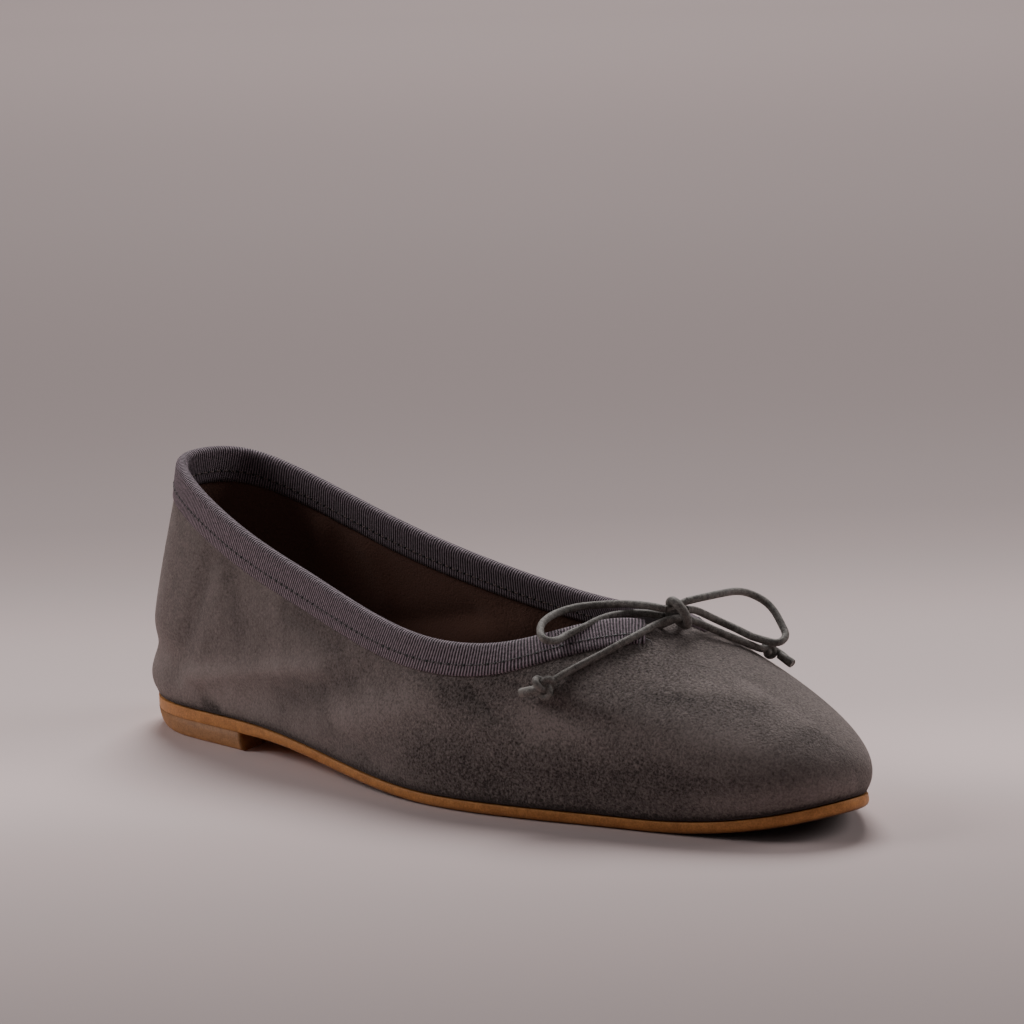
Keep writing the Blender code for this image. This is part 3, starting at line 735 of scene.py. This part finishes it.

# Creases and swells: the line each follows, in millimetres along the sole's edge from the heel's
# back, less than nothing on the inner side, and up the wall, then its half width and how far it
# stands out. The inner side has its own, of the same kinds. The nap's patches lie likewise, partly a
# random tone and partly painted light and shade: lighter on ridges and where light falls, darker in
# troughs and low on the vamp.
CREASES = (
    (((50, 46), (47, 34), (42, 20), (38, 9)), 3.8, -1.30),
    (((31, 48), (30, 30), (28, 22)), 7.0, 0.70),
    (((57, 46), (62, 36), (68, 25)), 4.8, -0.80),
    (((54, 38), (55, 26), (50, 18)), 3.4, 0.25),
    (((-4, 15), (18, 14), (35, 13)), 4.6, -1.50),
    (((8, 5), (20, 5), (32, 4)), 3.6, 0.65),
    (((42, 9), (54, 11), (74, 15), (92, 20), (110, 24)), 2.9, 1.15),
    (((88, 18), (95, 15), (104, 14)), 2.2, 0.40),
    (((70, 6), (84, 10), (104, 17), (126, 26), (137, 31)), 4.4, -1.05),
    (((92, 36), (106, 34), (121, 34)), 3.0, -0.75),
    (((106, 8), (124, 14), (152, 25)), 4.6, 1.10),
    (((112, 10), (123, 6), (132, 2)), 3.2, -0.80),
    (((50, 5), (54, 2)), 2.2, -0.80),
    (((184, 41), (187, 32)), 3.6, -0.60),
    (((150, 25), (165, 15), (176, 6)), 5.5, -0.65),
    (((160, 34), (176, 26), (192, 16)), 5.5, 0.45),
    (((214, 50), (224, 40), (232, 34)), 6.0, -0.55),
    (((-46, 44), (-43, 28), (-37, 12)), 3.8, -1.40),
    (((-60, 42), (-68, 26)), 4.4, -0.90),
    (((-8, 18), (-34, 15)), 3.6, -1.40),
    (((-8, 6), (-32, 5)), 4.2, 0.90),
    (((-50, 14), (-76, 19), (-106, 27)), 3.6, 1.10),
    (((-66, 9), (-92, 15), (-128, 29)), 4.2, -1.30),
    (((-118, 8), (-138, 15), (-150, 26)), 5.0, -0.65),
)
NAP_AND_PAINTED_LIGHT_PATCHES = (
    (((22, 30), (24, 10), (40, 7), (62, 6)), 8.0, 0.13),
    (((70, 6), (96, 5)), 6.0, 0.10),
    (((118, 14), (134, 19), (154, 26)), 6.0, 0.17),
    (((46, 11), (78, 17), (110, 25)), 3.0, 0.12),
    (((84, 9), (104, 16), (122, 24)), 5.0, -0.12),
    (((50, 44), (46, 28), (40, 14)), 4.0, -0.06),
    (((58, 44), (68, 28)), 6.0, -0.10),
    (((92, 37), (121, 35)), 4.0, -0.12),
    (((49, 2), (54, 1)), 1.8, -0.20),
    (((150, 8), (190, 9), (230, 12)), 9.0, -0.15),
    (((206, 34), (236, 36), (250, 30)), 10.0, 0.08),
    (((236, 4), (272, 3)), 4.0, 0.12),
    (((236, 10), (258, 9)), 4.0, -0.08),
    (((170, 32), (187, 36)), 5.0, -0.12),
    (((198, 28), (214, 33)), 8.0, 0.12),
    (((222, 46), (232, 42)), 6.0, -0.12),
    (((252, 46), (264, 41), (268, 34)), 4.0, -0.12),
    (((264, 48), (276, 40), (277, 28)), 6.5, 0.12),
    (((270, 20), (281, 16)), 4.0, -0.14),
    (((249, 27), (258, 22)), 5.0, 0.10),
    (((196, 42), (206, 50)), 5.0, -0.10),
    (((-24, 10), (-60, 8)), 9.0, 0.10),
    (((-110, 14), (-146, 26)), 7.0, 0.12),
    (((-150, 12), (-206, 10)), 9.0, -0.12),
)
# painted shade: the suede darkened along the foot of the wall, just above the seam with the sole
SEAM_SHADE = -0.45
SEAM_SHADE_HEIGHT = 0.8
CREASE_FADE_AT_SOLE = 2.5 * MM
CREASE_FADE_AT_RIBBON = 5.0 * MM


def upper_wall(places):
    """The upper's outer face as curves from the sole up to the collar, one for each place."""
    values, outward = sections_at(places)
    start = above_sole(values[:, :2], OUTSOLE_THICKNESS + SEAM_GAP + FEATHER_ROUND)
    end = values[:, 2:5]
    up = np.array([0, 0, 1.0])
    rise, rise_reach, fall, fall_reach = (values[:, k:k + 1] for k in range(5, 9))
    start_handle = start + rise_reach * (np.cos(rise) * outward + np.sin(rise) * up)
    end_handle = end + fall_reach * (np.cos(fall) * outward - np.sin(fall) * up)
    t = np.linspace(0, 1, CURVE_SAMPLES + 1)[None, :, None]
    weights = ((1 - t) ** 3, 3 * (1 - t) ** 2 * t, 3 * (1 - t) * t ** 2, t ** 3)
    points = (start, start_handle, end_handle, end)
    return sum(w * p[:, None, :] for w, p in zip(weights, points)), values, outward


def read_along(at, travel, points):
    """Points read at distances along a line, on all three axes."""
    return np.stack([np.interp(at, travel, points[:, k]) for k in range(3)], axis=-1)


def along_wall(curves, shares, lengths_from_top):
    """Points up each curve: shares of the height below the ribbon, then lengths from the top."""
    picked = []
    for curve in curves:
        travel = travel_along(curve)
        low = shares * (travel[-1] - lengths_from_top[0])
        places = np.concatenate([low, travel[-1] - lengths_from_top])
        picked.append(read_along(places, travel, curve))
    return np.array(picked)


def wall_normals(columns):
    """Outward normals of the wall on a closed ring of columns."""
    round_way = np.roll(columns, -1, axis=0) - np.roll(columns, 1, axis=0)
    normal = np.cross(round_way, np.gradient(columns, axis=1))
    return normal / np.linalg.norm(normal, axis=2, keepdims=True)


def wall_places(columns):
    """Millimetres along the sole's edge, minus on the inner side, and up the wall, at each point."""
    side = np.where(RING > PERIMETER / 2, RING - PERIMETER, RING)
    travel = np.linalg.norm(np.diff(columns, axis=1), axis=2).cumsum(axis=1)
    travel = np.concatenate([np.zeros((len(columns), 1)), travel], axis=1)
    return np.stack([np.broadcast_to(side[:, None], travel.shape), travel], axis=-1) / MM


def soft_lines(places, table):
    """Sum of soft rounded lines: each is widest and strongest on its own route and fades to its sides."""
    total = np.zeros(places.shape[:2])
    for line, half_width, amount in table:
        nearest = np.full(places.shape[:2], np.inf)
        for start, end in zip(np.array(line, float)[:-1], np.array(line, float)[1:]):
            run = end - start
            share = np.clip((places - start) @ run / (run @ run), 0, 1)
            nearest = np.minimum(nearest, np.linalg.norm(places - start - share[..., None] * run, axis=-1))
        total += amount * np.exp(-(nearest / half_width) ** 2)
    return total


RING = ring_places(UPPER_COLUMNS)[:-1]
CURVES, RING_VALUES, RING_OUTWARD = upper_wall(RING)
LOW_SHARES = np.linspace(0, 1, UPPER_ROWS + 1)[:-1] ** WALL_BUNCHING
SMOOTH_WALL = along_wall(CURVES, LOW_SHARES, np.linspace(RIBBON_DROP, 0, RIBBON_ROWS))
WALL_PLACES = wall_places(SMOOTH_WALL)
below_ribbon = WALL_PLACES[:, -1:, 1] * MM - RIBBON_DROP - WALL_PLACES[..., 1] * MM
crease_share = np.clip(below_ribbon / CREASE_FADE_AT_RIBBON, 0, 1)
crease_share = crease_share * np.clip(WALL_PLACES[..., 1] * MM / CREASE_FADE_AT_SOLE, 0, 1)
crease_height = (soft_lines(WALL_PLACES, CREASES) * crease_share * MM)[..., None]
WALL = SMOOTH_WALL + wall_normals(SMOOTH_WALL) * crease_height

# The bow pulls the near end of the ribbon up a little, with the suede under it
near_throat = np.exp(-((WALL_PLACES[..., 0] - THROAT_PLACE) / THROAT_SPREAD) ** 2)
near_collar = 1 - (WALL_PLACES[:, -1:, 1] - WALL_PLACES[..., 1]) / THROAT_REACH
WALL[..., 2] += THROAT_LIFT * MM * near_throat * np.clip(near_collar, 0, 1) ** THROAT_POWER
WALL_NORMAL = wall_normals(WALL)


def foot_rows(inset_more, lift_more):
    """The turned-in margin and the rounded feather edge, from under the insole out to the wall."""
    seat = OUTSOLE_THICKNESS + SEAM_GAP + lift_more
    rows = [(LASTING_MARGIN, 0.0), (LASTING_MARGIN / 2, 0.0), (FEATHER_INSET + FEATHER_ROUND, 0.0)]
    for angle in (pi / 8, pi / 4, 3 * pi / 8):
        inset = FEATHER_INSET + FEATHER_ROUND * (1 - sin(angle)) * FEATHER_FLATTENING
        rows.append((inset, FEATHER_ROUND * (1 - cos(angle))))
    places = []
    for inset, lift in rows:
        plan = RING_VALUES[:, :2] - (inset + inset_more) * RING_OUTWARD[:, :2]
        places.append(above_sole(plan, seat + lift))
    return np.stack(places, axis=1)


def nap_group():
    """Suede nap: broad brushed patches, finer clouds, and short fibres as a height."""
    sockets = {"Vector": "NodeSocketVector", "Patch": "NodeSocketFloat", "Fibre": "NodeSocketFloat"}
    group, given, result = new_group("suede_nap", sockets, ("Patches", "Fibres"))
    broad = node(group, "TexNoise", Vector=given["Vector"], Scale=given["Patch"],
                 Detail=2.0, Roughness=0.5, Distortion=0.4)
    finer = maths(group, "MULTIPLY", given["Patch"], 9.0)
    cloud = node(group, "TexNoise", Vector=given["Vector"], Scale=finer, Detail=5.0, Roughness=0.7)
    fibre = node(group, "TexNoise", Vector=given["Vector"], Scale=given["Fibre"],
                 Detail=3.0, Roughness=0.65, Distortion=0.5)
    broad_part = maths(group, "MULTIPLY", broad.outputs["Fac"], 0.24)
    mixed = maths(group, "MULTIPLY_ADD", cloud.outputs["Fac"], 0.26, broad_part)
    group.links.new(mixed, result["Patches"])
    group.links.new(fibre.outputs["Fac"], result["Fibres"])
    return group


SUEDE_NAP = nap_group()


def suede_material(name, dark, light, patch, sheen):
    """Nap whose tone comes from its clouds, its fibres, roughest over the ball of the foot where the
    shoe bends, and the mesh's attribute of painted light and shade with some random nap patches."""
    surface, shader, tree = new_material(name, 0.95, Sheen_Weight=sheen, Sheen_Roughness=0.45,
                                         Sheen_Tint=SUEDE_SHEEN, Specular_IOR_Level=0.15)
    place = object_place(tree)
    nap = node(tree, "Group", {"node_tree": SUEDE_NAP}, Vector=place, Patch=patch, Fibre=NAP_FIBRE).outputs
    # the mesh attribute adds painted light and shade, with some random nap tone, to the suede's tone
    nap_and_painted_light = node(tree, "Attribute", {"attribute_name": "nap_and_painted_light"})
    soft = maths(tree, "ADD", nap["Patches"], nap_and_painted_light.outputs["Fac"])
    ahead = maths(tree, "SUBTRACT", node(tree, "SeparateXYZ", Vector=place).outputs["X"], ROUGHEST_NAP)
    away = maths(tree, "ABSOLUTE", ahead)
    rough = spread(tree, away, *ROUGH_NAP_REACH, To_Min=NAP_ROUGHNESS[0], To_Max=NAP_ROUGHNESS[1])
    fibre = maths(tree, "SUBTRACT", nap["Fibres"], 0.5)
    tone = maths(tree, "MULTIPLY_ADD", fibre, rough, soft)
    height = maths(tree, "MULTIPLY", nap["Fibres"], rough)
    return colour_and_bump(surface, shader, spread(tree, tone, *NAP_TONES), dark, light, height,
                           distance=0.75 * MM, strength=1.0)


UPPER_FOOT = foot_rows(0.0, 0.0)
# painted light and shade on the suede, with some random nap tone, and painted shade by the sole
painted_light_and_nap_tone = soft_lines(WALL_PLACES, NAP_AND_PAINTED_LIGHT_PATCHES)
painted_light_and_nap_tone += SEAM_SHADE * np.exp(-WALL_PLACES[..., 1] / SEAM_SHADE_HEIGHT)
painted_light_and_nap_tone = np.concatenate([np.repeat(painted_light_and_nap_tone[:, :1], UPPER_FOOT.shape[1], axis=1), painted_light_and_nap_tone], axis=1)
upper_rows = np.concatenate([UPPER_FOOT, WALL], axis=1)
upper_mesh = laid_grid("upper_suede", upper_rows, closed=True, nap_and_painted_light=painted_light_and_nap_tone)
SUEDE_SURFACE = suede_material("suede", SUEDE_DARK, SUEDE_LIGHT, patch=30.0, sheen=0.35)
upper = place_piece("upper_suede", upper_mesh, SUEDE_SURFACE, "upper")
thicken(upper, SUEDE_THICKNESS, offset=-1.0)

# Lining. Soft brown leather with a short nap, glued to the suede's inside and caught with it under
# the insole and in the ribbon at the collar.
LINING_GAP = 0.95 * MM
LINING_THICKNESS = 0.45 * MM
# painted light: the lining's nap made paler there, how much, and its middle and reach in millimetres along
# the edge
LINING_PAINTED_LIGHT = 0.62
LINING_PAINTED_LIGHT_PLACE = -62.0
LINING_PAINTED_LIGHT_REACH = 60.0
LINING_DARK = (0.042, 0.018, 0.013)
LINING_LIGHT = (0.155, 0.078, 0.058)
LINING_FOOT_ROWS = 3

lining_foot = foot_rows(LINING_GAP, LINING_GAP)[:, :LINING_FOOT_ROWS]
lining_rows = np.concatenate([lining_foot, WALL - WALL_NORMAL * LINING_GAP], axis=1)
# painted light on the lining's inner side ahead of the heel, carried by the mesh attribute
painted_light_at_heel = LINING_PAINTED_LIGHT * np.exp(-((WALL_PLACES[:, :1, 0] - LINING_PAINTED_LIGHT_PLACE) / LINING_PAINTED_LIGHT_REACH) ** 2)
lining_painted_light = np.broadcast_to(painted_light_at_heel, lining_rows.shape[:2])
lining_mesh = laid_grid("lining_leather", lining_rows, closed=True, nap_and_painted_light=lining_painted_light)
LINING_SURFACE = suede_material("lining", LINING_DARK, LINING_LIGHT, patch=26.0, sheen=0.15)
lining = place_piece("lining_leather", lining_mesh, LINING_SURFACE)
thicken(lining, LINING_THICKNESS, offset=-1.0)

# Binding. Ribbed ribbon 16 mm wide folded over the collar's edge and sewn through, from one side of
# the throat round the heel to the other, where its cut ends stop short of the bow.
RIBBON_THICKNESS = 0.7 * MM
RIBBON_END_GAP = 16.0 * MM
RIBBON_COLUMNS = 560
RIBBON_STAND = np.array([0.18, 0.30, 0.42, 0.52, 0.60, 0.64, 0.65]) * MM
RIB_PITCH = 0.80 * MM
RIB_WANDER = 2.4
WEFT_SHARE = 1.2
RIB_SHADE = (0.60, 1.75)
STITCH_PITCH = 2.35 * MM
OUTER_STITCH_DROP = 5.1 * MM
INNER_STITCH_DROP = 5.0 * MM
FOLD_STEPS = 7
RIBBON_DARK = (0.013, 0.007, 0.009)
RIBBON_LIGHT = (0.425, 0.312, 0.364)


def open_at_throat(wall, normal):
    """Ribbon columns square to the collar's edge, from one side of the throat round to the other."""
    order = (np.arange(UPPER_COLUMNS + 1) + UPPER_COLUMNS // 2) % UPPER_COLUMNS
    wall, normal = wall[order], normal[order]
    top = wall[:, -1]
    travel = travel_along(top)
    along = np.gradient(top, axis=0)
    along /= np.linalg.norm(along, axis=1, keepdims=True)
    places = np.linspace(RIBBON_END_GAP / 2, travel[-1] - RIBBON_END_GAP / 2, RIBBON_COLUMNS + 1)
    opened = []
    for values in (wall, normal):
        rows = []
        for j in range(wall.shape[1]):
            lean = ((wall[:, j] - top) * along).sum(axis=1)
            passed = np.maximum.accumulate(travel + lean)
            rows.append(read_along(places, passed, values[:, j]))
        opened.append(np.stack(rows, axis=1))
    return opened


RIBBON_WALL, RIBBON_NORMAL = open_at_throat(WALL[:, -RIBBON_ROWS:], WALL_NORMAL[:, -RIBBON_ROWS:])
RIBBON_RISE = RIBBON_WALL[:, -1] - RIBBON_WALL[:, -2]
RIBBON_RISE /= np.linalg.norm(RIBBON_RISE, axis=1, keepdims=True)


def binding_columns():
    """Middle of the ribbon's thickness: down the outside, over the collar's edge, down the inside."""
    outer = RIBBON_WALL + RIBBON_NORMAL * RIBBON_STAND[:, None]
    inner = RIBBON_WALL - RIBBON_NORMAL * (UPPER_WALL + RIBBON_STAND[:, None])
    top_normal = RIBBON_NORMAL[:, -1]
    centre = RIBBON_WALL[:, -1] - top_normal * UPPER_WALL / 2
    radius = UPPER_WALL / 2 + SEAM_GAP + RIBBON_THICKNESS / 2
    fold = []
    for step in range(1, FOLD_STEPS + 1):
        angle = pi * step / (FOLD_STEPS + 1)
        fold.append(centre + radius * (cos(angle) * top_normal + sin(angle) * RIBBON_RISE))
    return np.concatenate([outer, np.stack(fold, axis=1), inner[:, ::-1]], axis=1)


def ribbon_material():
    """Ribs straight across the ribbon, each a bundle of threads."""
    surface, shader, tree = new_material("ribbon", 0.78, Sheen_Weight=0.25, Sheen_Roughness=0.4,
                                         Specular_IOR_Level=0.3)
    place = node(tree, "UVMap", {"uv_map": "lengths"}).outputs[0]
    wander = node(tree, "TexNoise", Vector=place, Scale=220.0, Detail=2.0).outputs["Fac"]
    along = node(tree, "SeparateXYZ", Vector=place).outputs["X"]
    turns = maths(tree, "MULTIPLY", along, 2 * pi / RIB_PITCH)
    wave = maths(tree, "SINE", maths(tree, "MULTIPLY_ADD", wander, RIB_WANDER, turns))
    rib = spread(tree, wave, -1.0, 1.0)
    weft = node(tree, "TexNoise", Vector=place, Scale=1100.0, Detail=3.0, Roughness=0.6).outputs["Fac"]
    height = maths(tree, "MULTIPLY_ADD", weft, WEFT_SHARE, rib)
    shade = spread(tree, height, *RIB_SHADE)
    return colour_and_bump(surface, shader, shade, RIBBON_DARK, RIBBON_LIGHT, height,
                           distance=0.36 * MM, strength=1.0)


binding_mesh = laid_grid("binding_ribbon", binding_columns())
binding = place_piece("binding_ribbon", binding_mesh, ribbon_material(), "binding")
thicken(binding, RIBBON_THICKNESS, offset=0.0)

# Stitches. One row of lockstitch through ribbon, suede and lining: grey thread outside, and a
# paler pinkish thread inside, each stitch dipping into a needle hole at its ends. Each hole is a dark
# bead of painted shade.
THREAD_WIDTH = 0.38 * MM
THREAD_LENGTH = 1.45 * MM
NEEDLE_HOLE = 0.85 * MM
THREAD_GREY = (0.115, 0.090, 0.093)
THREAD_PINK = (0.190, 0.125, 0.110)
# painted shade: the colour of the beads that stand in for the shade inside each needle hole
HOLE_SHADE = (0.008, 0.006, 0.006)
LOOSE_THREADS = (
    # two fine ends at the ribbon's near end: millimetres along the edge, below the collar, and outwards
    ((258.5, 7.4, 1.0), (258.0, 8.8, 1.3), (257.0, 9.9, 1.0), (257.6, 11.2, 0.4)),
    ((260.5, 7.6, 1.0), (261.6, 8.9, 1.2), (261.2, 10.0, 0.4)),
)
LOOSE_THREAD_WIDTH = 0.26 * MM
THREAD_SHADE = 0.6
# a bead's length and width, and how far along the ribbon the first one lies
THREAD_BEAD = (THREAD_LENGTH, THREAD_WIDTH, STITCH_PITCH)
HOLE_BEAD = (NEEDLE_HOLE, NEEDLE_HOLE, STITCH_PITCH * 1.5)


def thread_material(name, colour):
    surface, shader, tree = new_material(name, 0.6, Sheen_Weight=0.2)
    fuzz = node(tree, "TexNoise", Vector=object_place(tree), Scale=5000.0, Detail=2.0).outputs["Fac"]
    dark = tuple(THREAD_SHADE * c for c in colour)
    return colour_and_bump(surface, shader, fuzz, dark, colour, fuzz, distance=0.05 * MM, strength=0.5)


def stitch_row(name, drop, side, surface, length, width, start):
    """Small beads at even steps along one face of the ribbon, a given drop below its top."""
    share = (RIBBON_DROP - drop) / RIBBON_DROP * (RIBBON_ROWS - 1)
    low = int(share)
    mix = share - low
    depth = RIBBON_STAND[low] * (1 - mix) + RIBBON_STAND[low + 1] * mix + RIBBON_THICKNESS / 2
    if side < 0:
        depth = -(UPPER_WALL + depth)
    line = RIBBON_WALL[:, low] * (1 - mix) + RIBBON_WALL[:, low + 1] * mix
    normals = RIBBON_NORMAL[:, low] * (1 - mix) + RIBBON_NORMAL[:, low + 1] * mix
    line = line + normals * depth + np.array(HEEL_BACK)
    travel = travel_along(line)
    bm = bmesh.new()
    for at in np.arange(start, travel[-1] - STITCH_PITCH, STITCH_PITCH):
        ahead, here, normal = (
            Vector(read_along(s, travel, values))
            for s, values in ((at + length / 2, line), (at, line), (at, normals)))
        along = (ahead - here).normalized()
        across = normal.cross(along).normalized()
        turned = Matrix((along * length, across * width, along.cross(across) * THREAD_WIDTH)).transposed()
        bmesh.ops.create_uvsphere(bm, u_segments=8, v_segments=6, radius=0.5,
                                  matrix=Matrix.Translation(here) @ turned.to_4x4())
    return place_piece(name, mesh_of(bm, name), surface)


GREY_THREAD = thread_material("thread_grey", THREAD_GREY)
PINK_THREAD = thread_material("thread_pink", THREAD_PINK)
HOLE_SHADE_SURFACE = thread_material("needle_hole_shade", HOLE_SHADE)
stitch_row("outer_stitches", OUTER_STITCH_DROP, 1, GREY_THREAD, *THREAD_BEAD)
stitch_row("inner_stitches", INNER_STITCH_DROP, -1, PINK_THREAD, *THREAD_BEAD)
# beads of painted shade for the needle holes
stitch_row("outer_needle_holes", OUTER_STITCH_DROP, 1, HOLE_SHADE_SURFACE, *HOLE_BEAD)
stitch_row("inner_needle_holes", INNER_STITCH_DROP, -1, HOLE_SHADE_SURFACE, *HOLE_BEAD)


def off_wall(place, below, stand):
    """Millimetres from the heel's back of a place off the upper's outer face."""
    column = int(np.argmin(np.abs(WALL_PLACES[:, 0, 0] - place)))
    travel = WALL_PLACES[column, :, 1]
    lifted = WALL[column] / MM + WALL_NORMAL[column] * stand
    return read_along(travel[-1] - below, travel, lifted)


loose_threads = cord_curve("loose_threads", GREY_THREAD)
for strand in LOOSE_THREADS:
    strand_route = route([off_wall(*point) for point in strand], CORD_STEP)
    put_spline(loose_threads.data, strand_route, LOOSE_THREAD_WIDTH / CORD_DIAMETER)

# Studio. A pale matt floor, its colour painted lighter and darker in bands with distance behind the
# shoe, with a large soft light overhead and behind, and weaker ones from the camera's left, right and
# front, as the soft shadow under the sole and the lit top of the vamp show.
FLOOR_SIZE = 12.0
FLOOR_COLOUR = (0.60, 0.483, 0.472)
FLOOR_REACH = (-0.40, 1.80)
FLOOR_PAINTED_LIGHT = (
    # metres behind the shoe's middle, and share of the floor's colour there: painted light and shade
    (-0.40, 0.57), (1.80, 0.90), (-0.25, 0.64), (-0.135, 0.89), (-0.06, 1.03), (0.0, 1.46),
    (0.07, 1.01), (0.17, 0.95), (0.255, 0.61), (0.345, 0.465), (0.525, 0.345), (0.735, 0.335),
    (0.985, 0.385), (1.285, 0.46), (1.615, 0.76),
)
WORLD_COLOUR = (0.80, 0.77, 0.77)
WORLD_STRENGTH = 0.08
SOFT_LIGHTS = (
    # name, metres to the camera's right, towards the camera, up, size, watts, and how far behind it aims
    ("overhead_light", 0.08, -1.15, 1.40, 0.95, 30.5, 0.35),
    ("left_light", -1.30, -0.20, 0.85, 0.80, 7.5, 0.0),
    ("right_light", 1.20, -0.20, 0.80, 0.90, 5.5, 0.0),
    ("front_light", 0.10, 1.60, 0.90, 1.00, 0.6, 0.0),
)


def floor_material():
    """Matt paper with painted light and shade: its colour is lighter and darker in bands with distance
    behind the shoe, brightest level with the shoe.
    """
    surface, shader, tree = new_material("paper_floor", 0.9, Specular_IOR_Level=0.2)
    away = node(tree, "VectorMath", {"operation": "DOT_PRODUCT"}, _0=object_place(tree),
                _1=tuple(-flat_back))
    share = spread(tree, away.outputs["Value"], *FLOOR_REACH)
    # painted light and shade: the floor's colour in bands by distance behind the shoe
    painted_light_ramp = node(tree, "ValToRGB", Fac=share)
    painted_light_ramp.color_ramp.interpolation = "B_SPLINE"
    stops = painted_light_ramp.color_ramp.elements
    for index, (metres, tone) in enumerate(FLOOR_PAINTED_LIGHT):
        position = (metres - FLOOR_REACH[0]) / (FLOOR_REACH[1] - FLOOR_REACH[0])
        stop = stops[index] if index < 2 else stops.new(position)
        stop.position = position
        stop.color = (*(tone * c for c in FLOOR_COLOUR), 1)
    tree.links.new(painted_light_ramp.outputs["Color"], shader.inputs["Base Color"])
    return surface


floor_bm = bmesh.new()
bmesh.ops.create_grid(floor_bm, x_segments=1, y_segments=1, size=FLOOR_SIZE / 2)
floor_mesh = mesh_of(floor_bm, "floor")
floor_mesh.materials.append(floor_material())
floor = placed("floor", floor_mesh)

world = bpy.data.worlds.new("studio")
world.use_nodes = True
backdrop = world.node_tree.nodes["Background"]
backdrop.inputs["Color"].default_value = (*WORLD_COLOUR, 1)
backdrop.inputs["Strength"].default_value = WORLD_STRENGTH
bpy.context.scene.world = world
for name, aside, near, height, size, watts, aim_behind in SOFT_LIGHTS:
    lamp = bpy.data.lights.new(name, "AREA")
    lamp.shape = "DISK"
    lamp.size = size
    lamp.energy = watts
    holder = placed(name, lamp)
    holder.location = level_right * aside + flat_back * near + Vector((0, 0, height))
    holder.rotation_mode = "QUATERNION"
    aim = -flat_back * aim_behind - holder.location
    holder.rotation_quaternion = aim.to_track_quat("-Z", "Y")
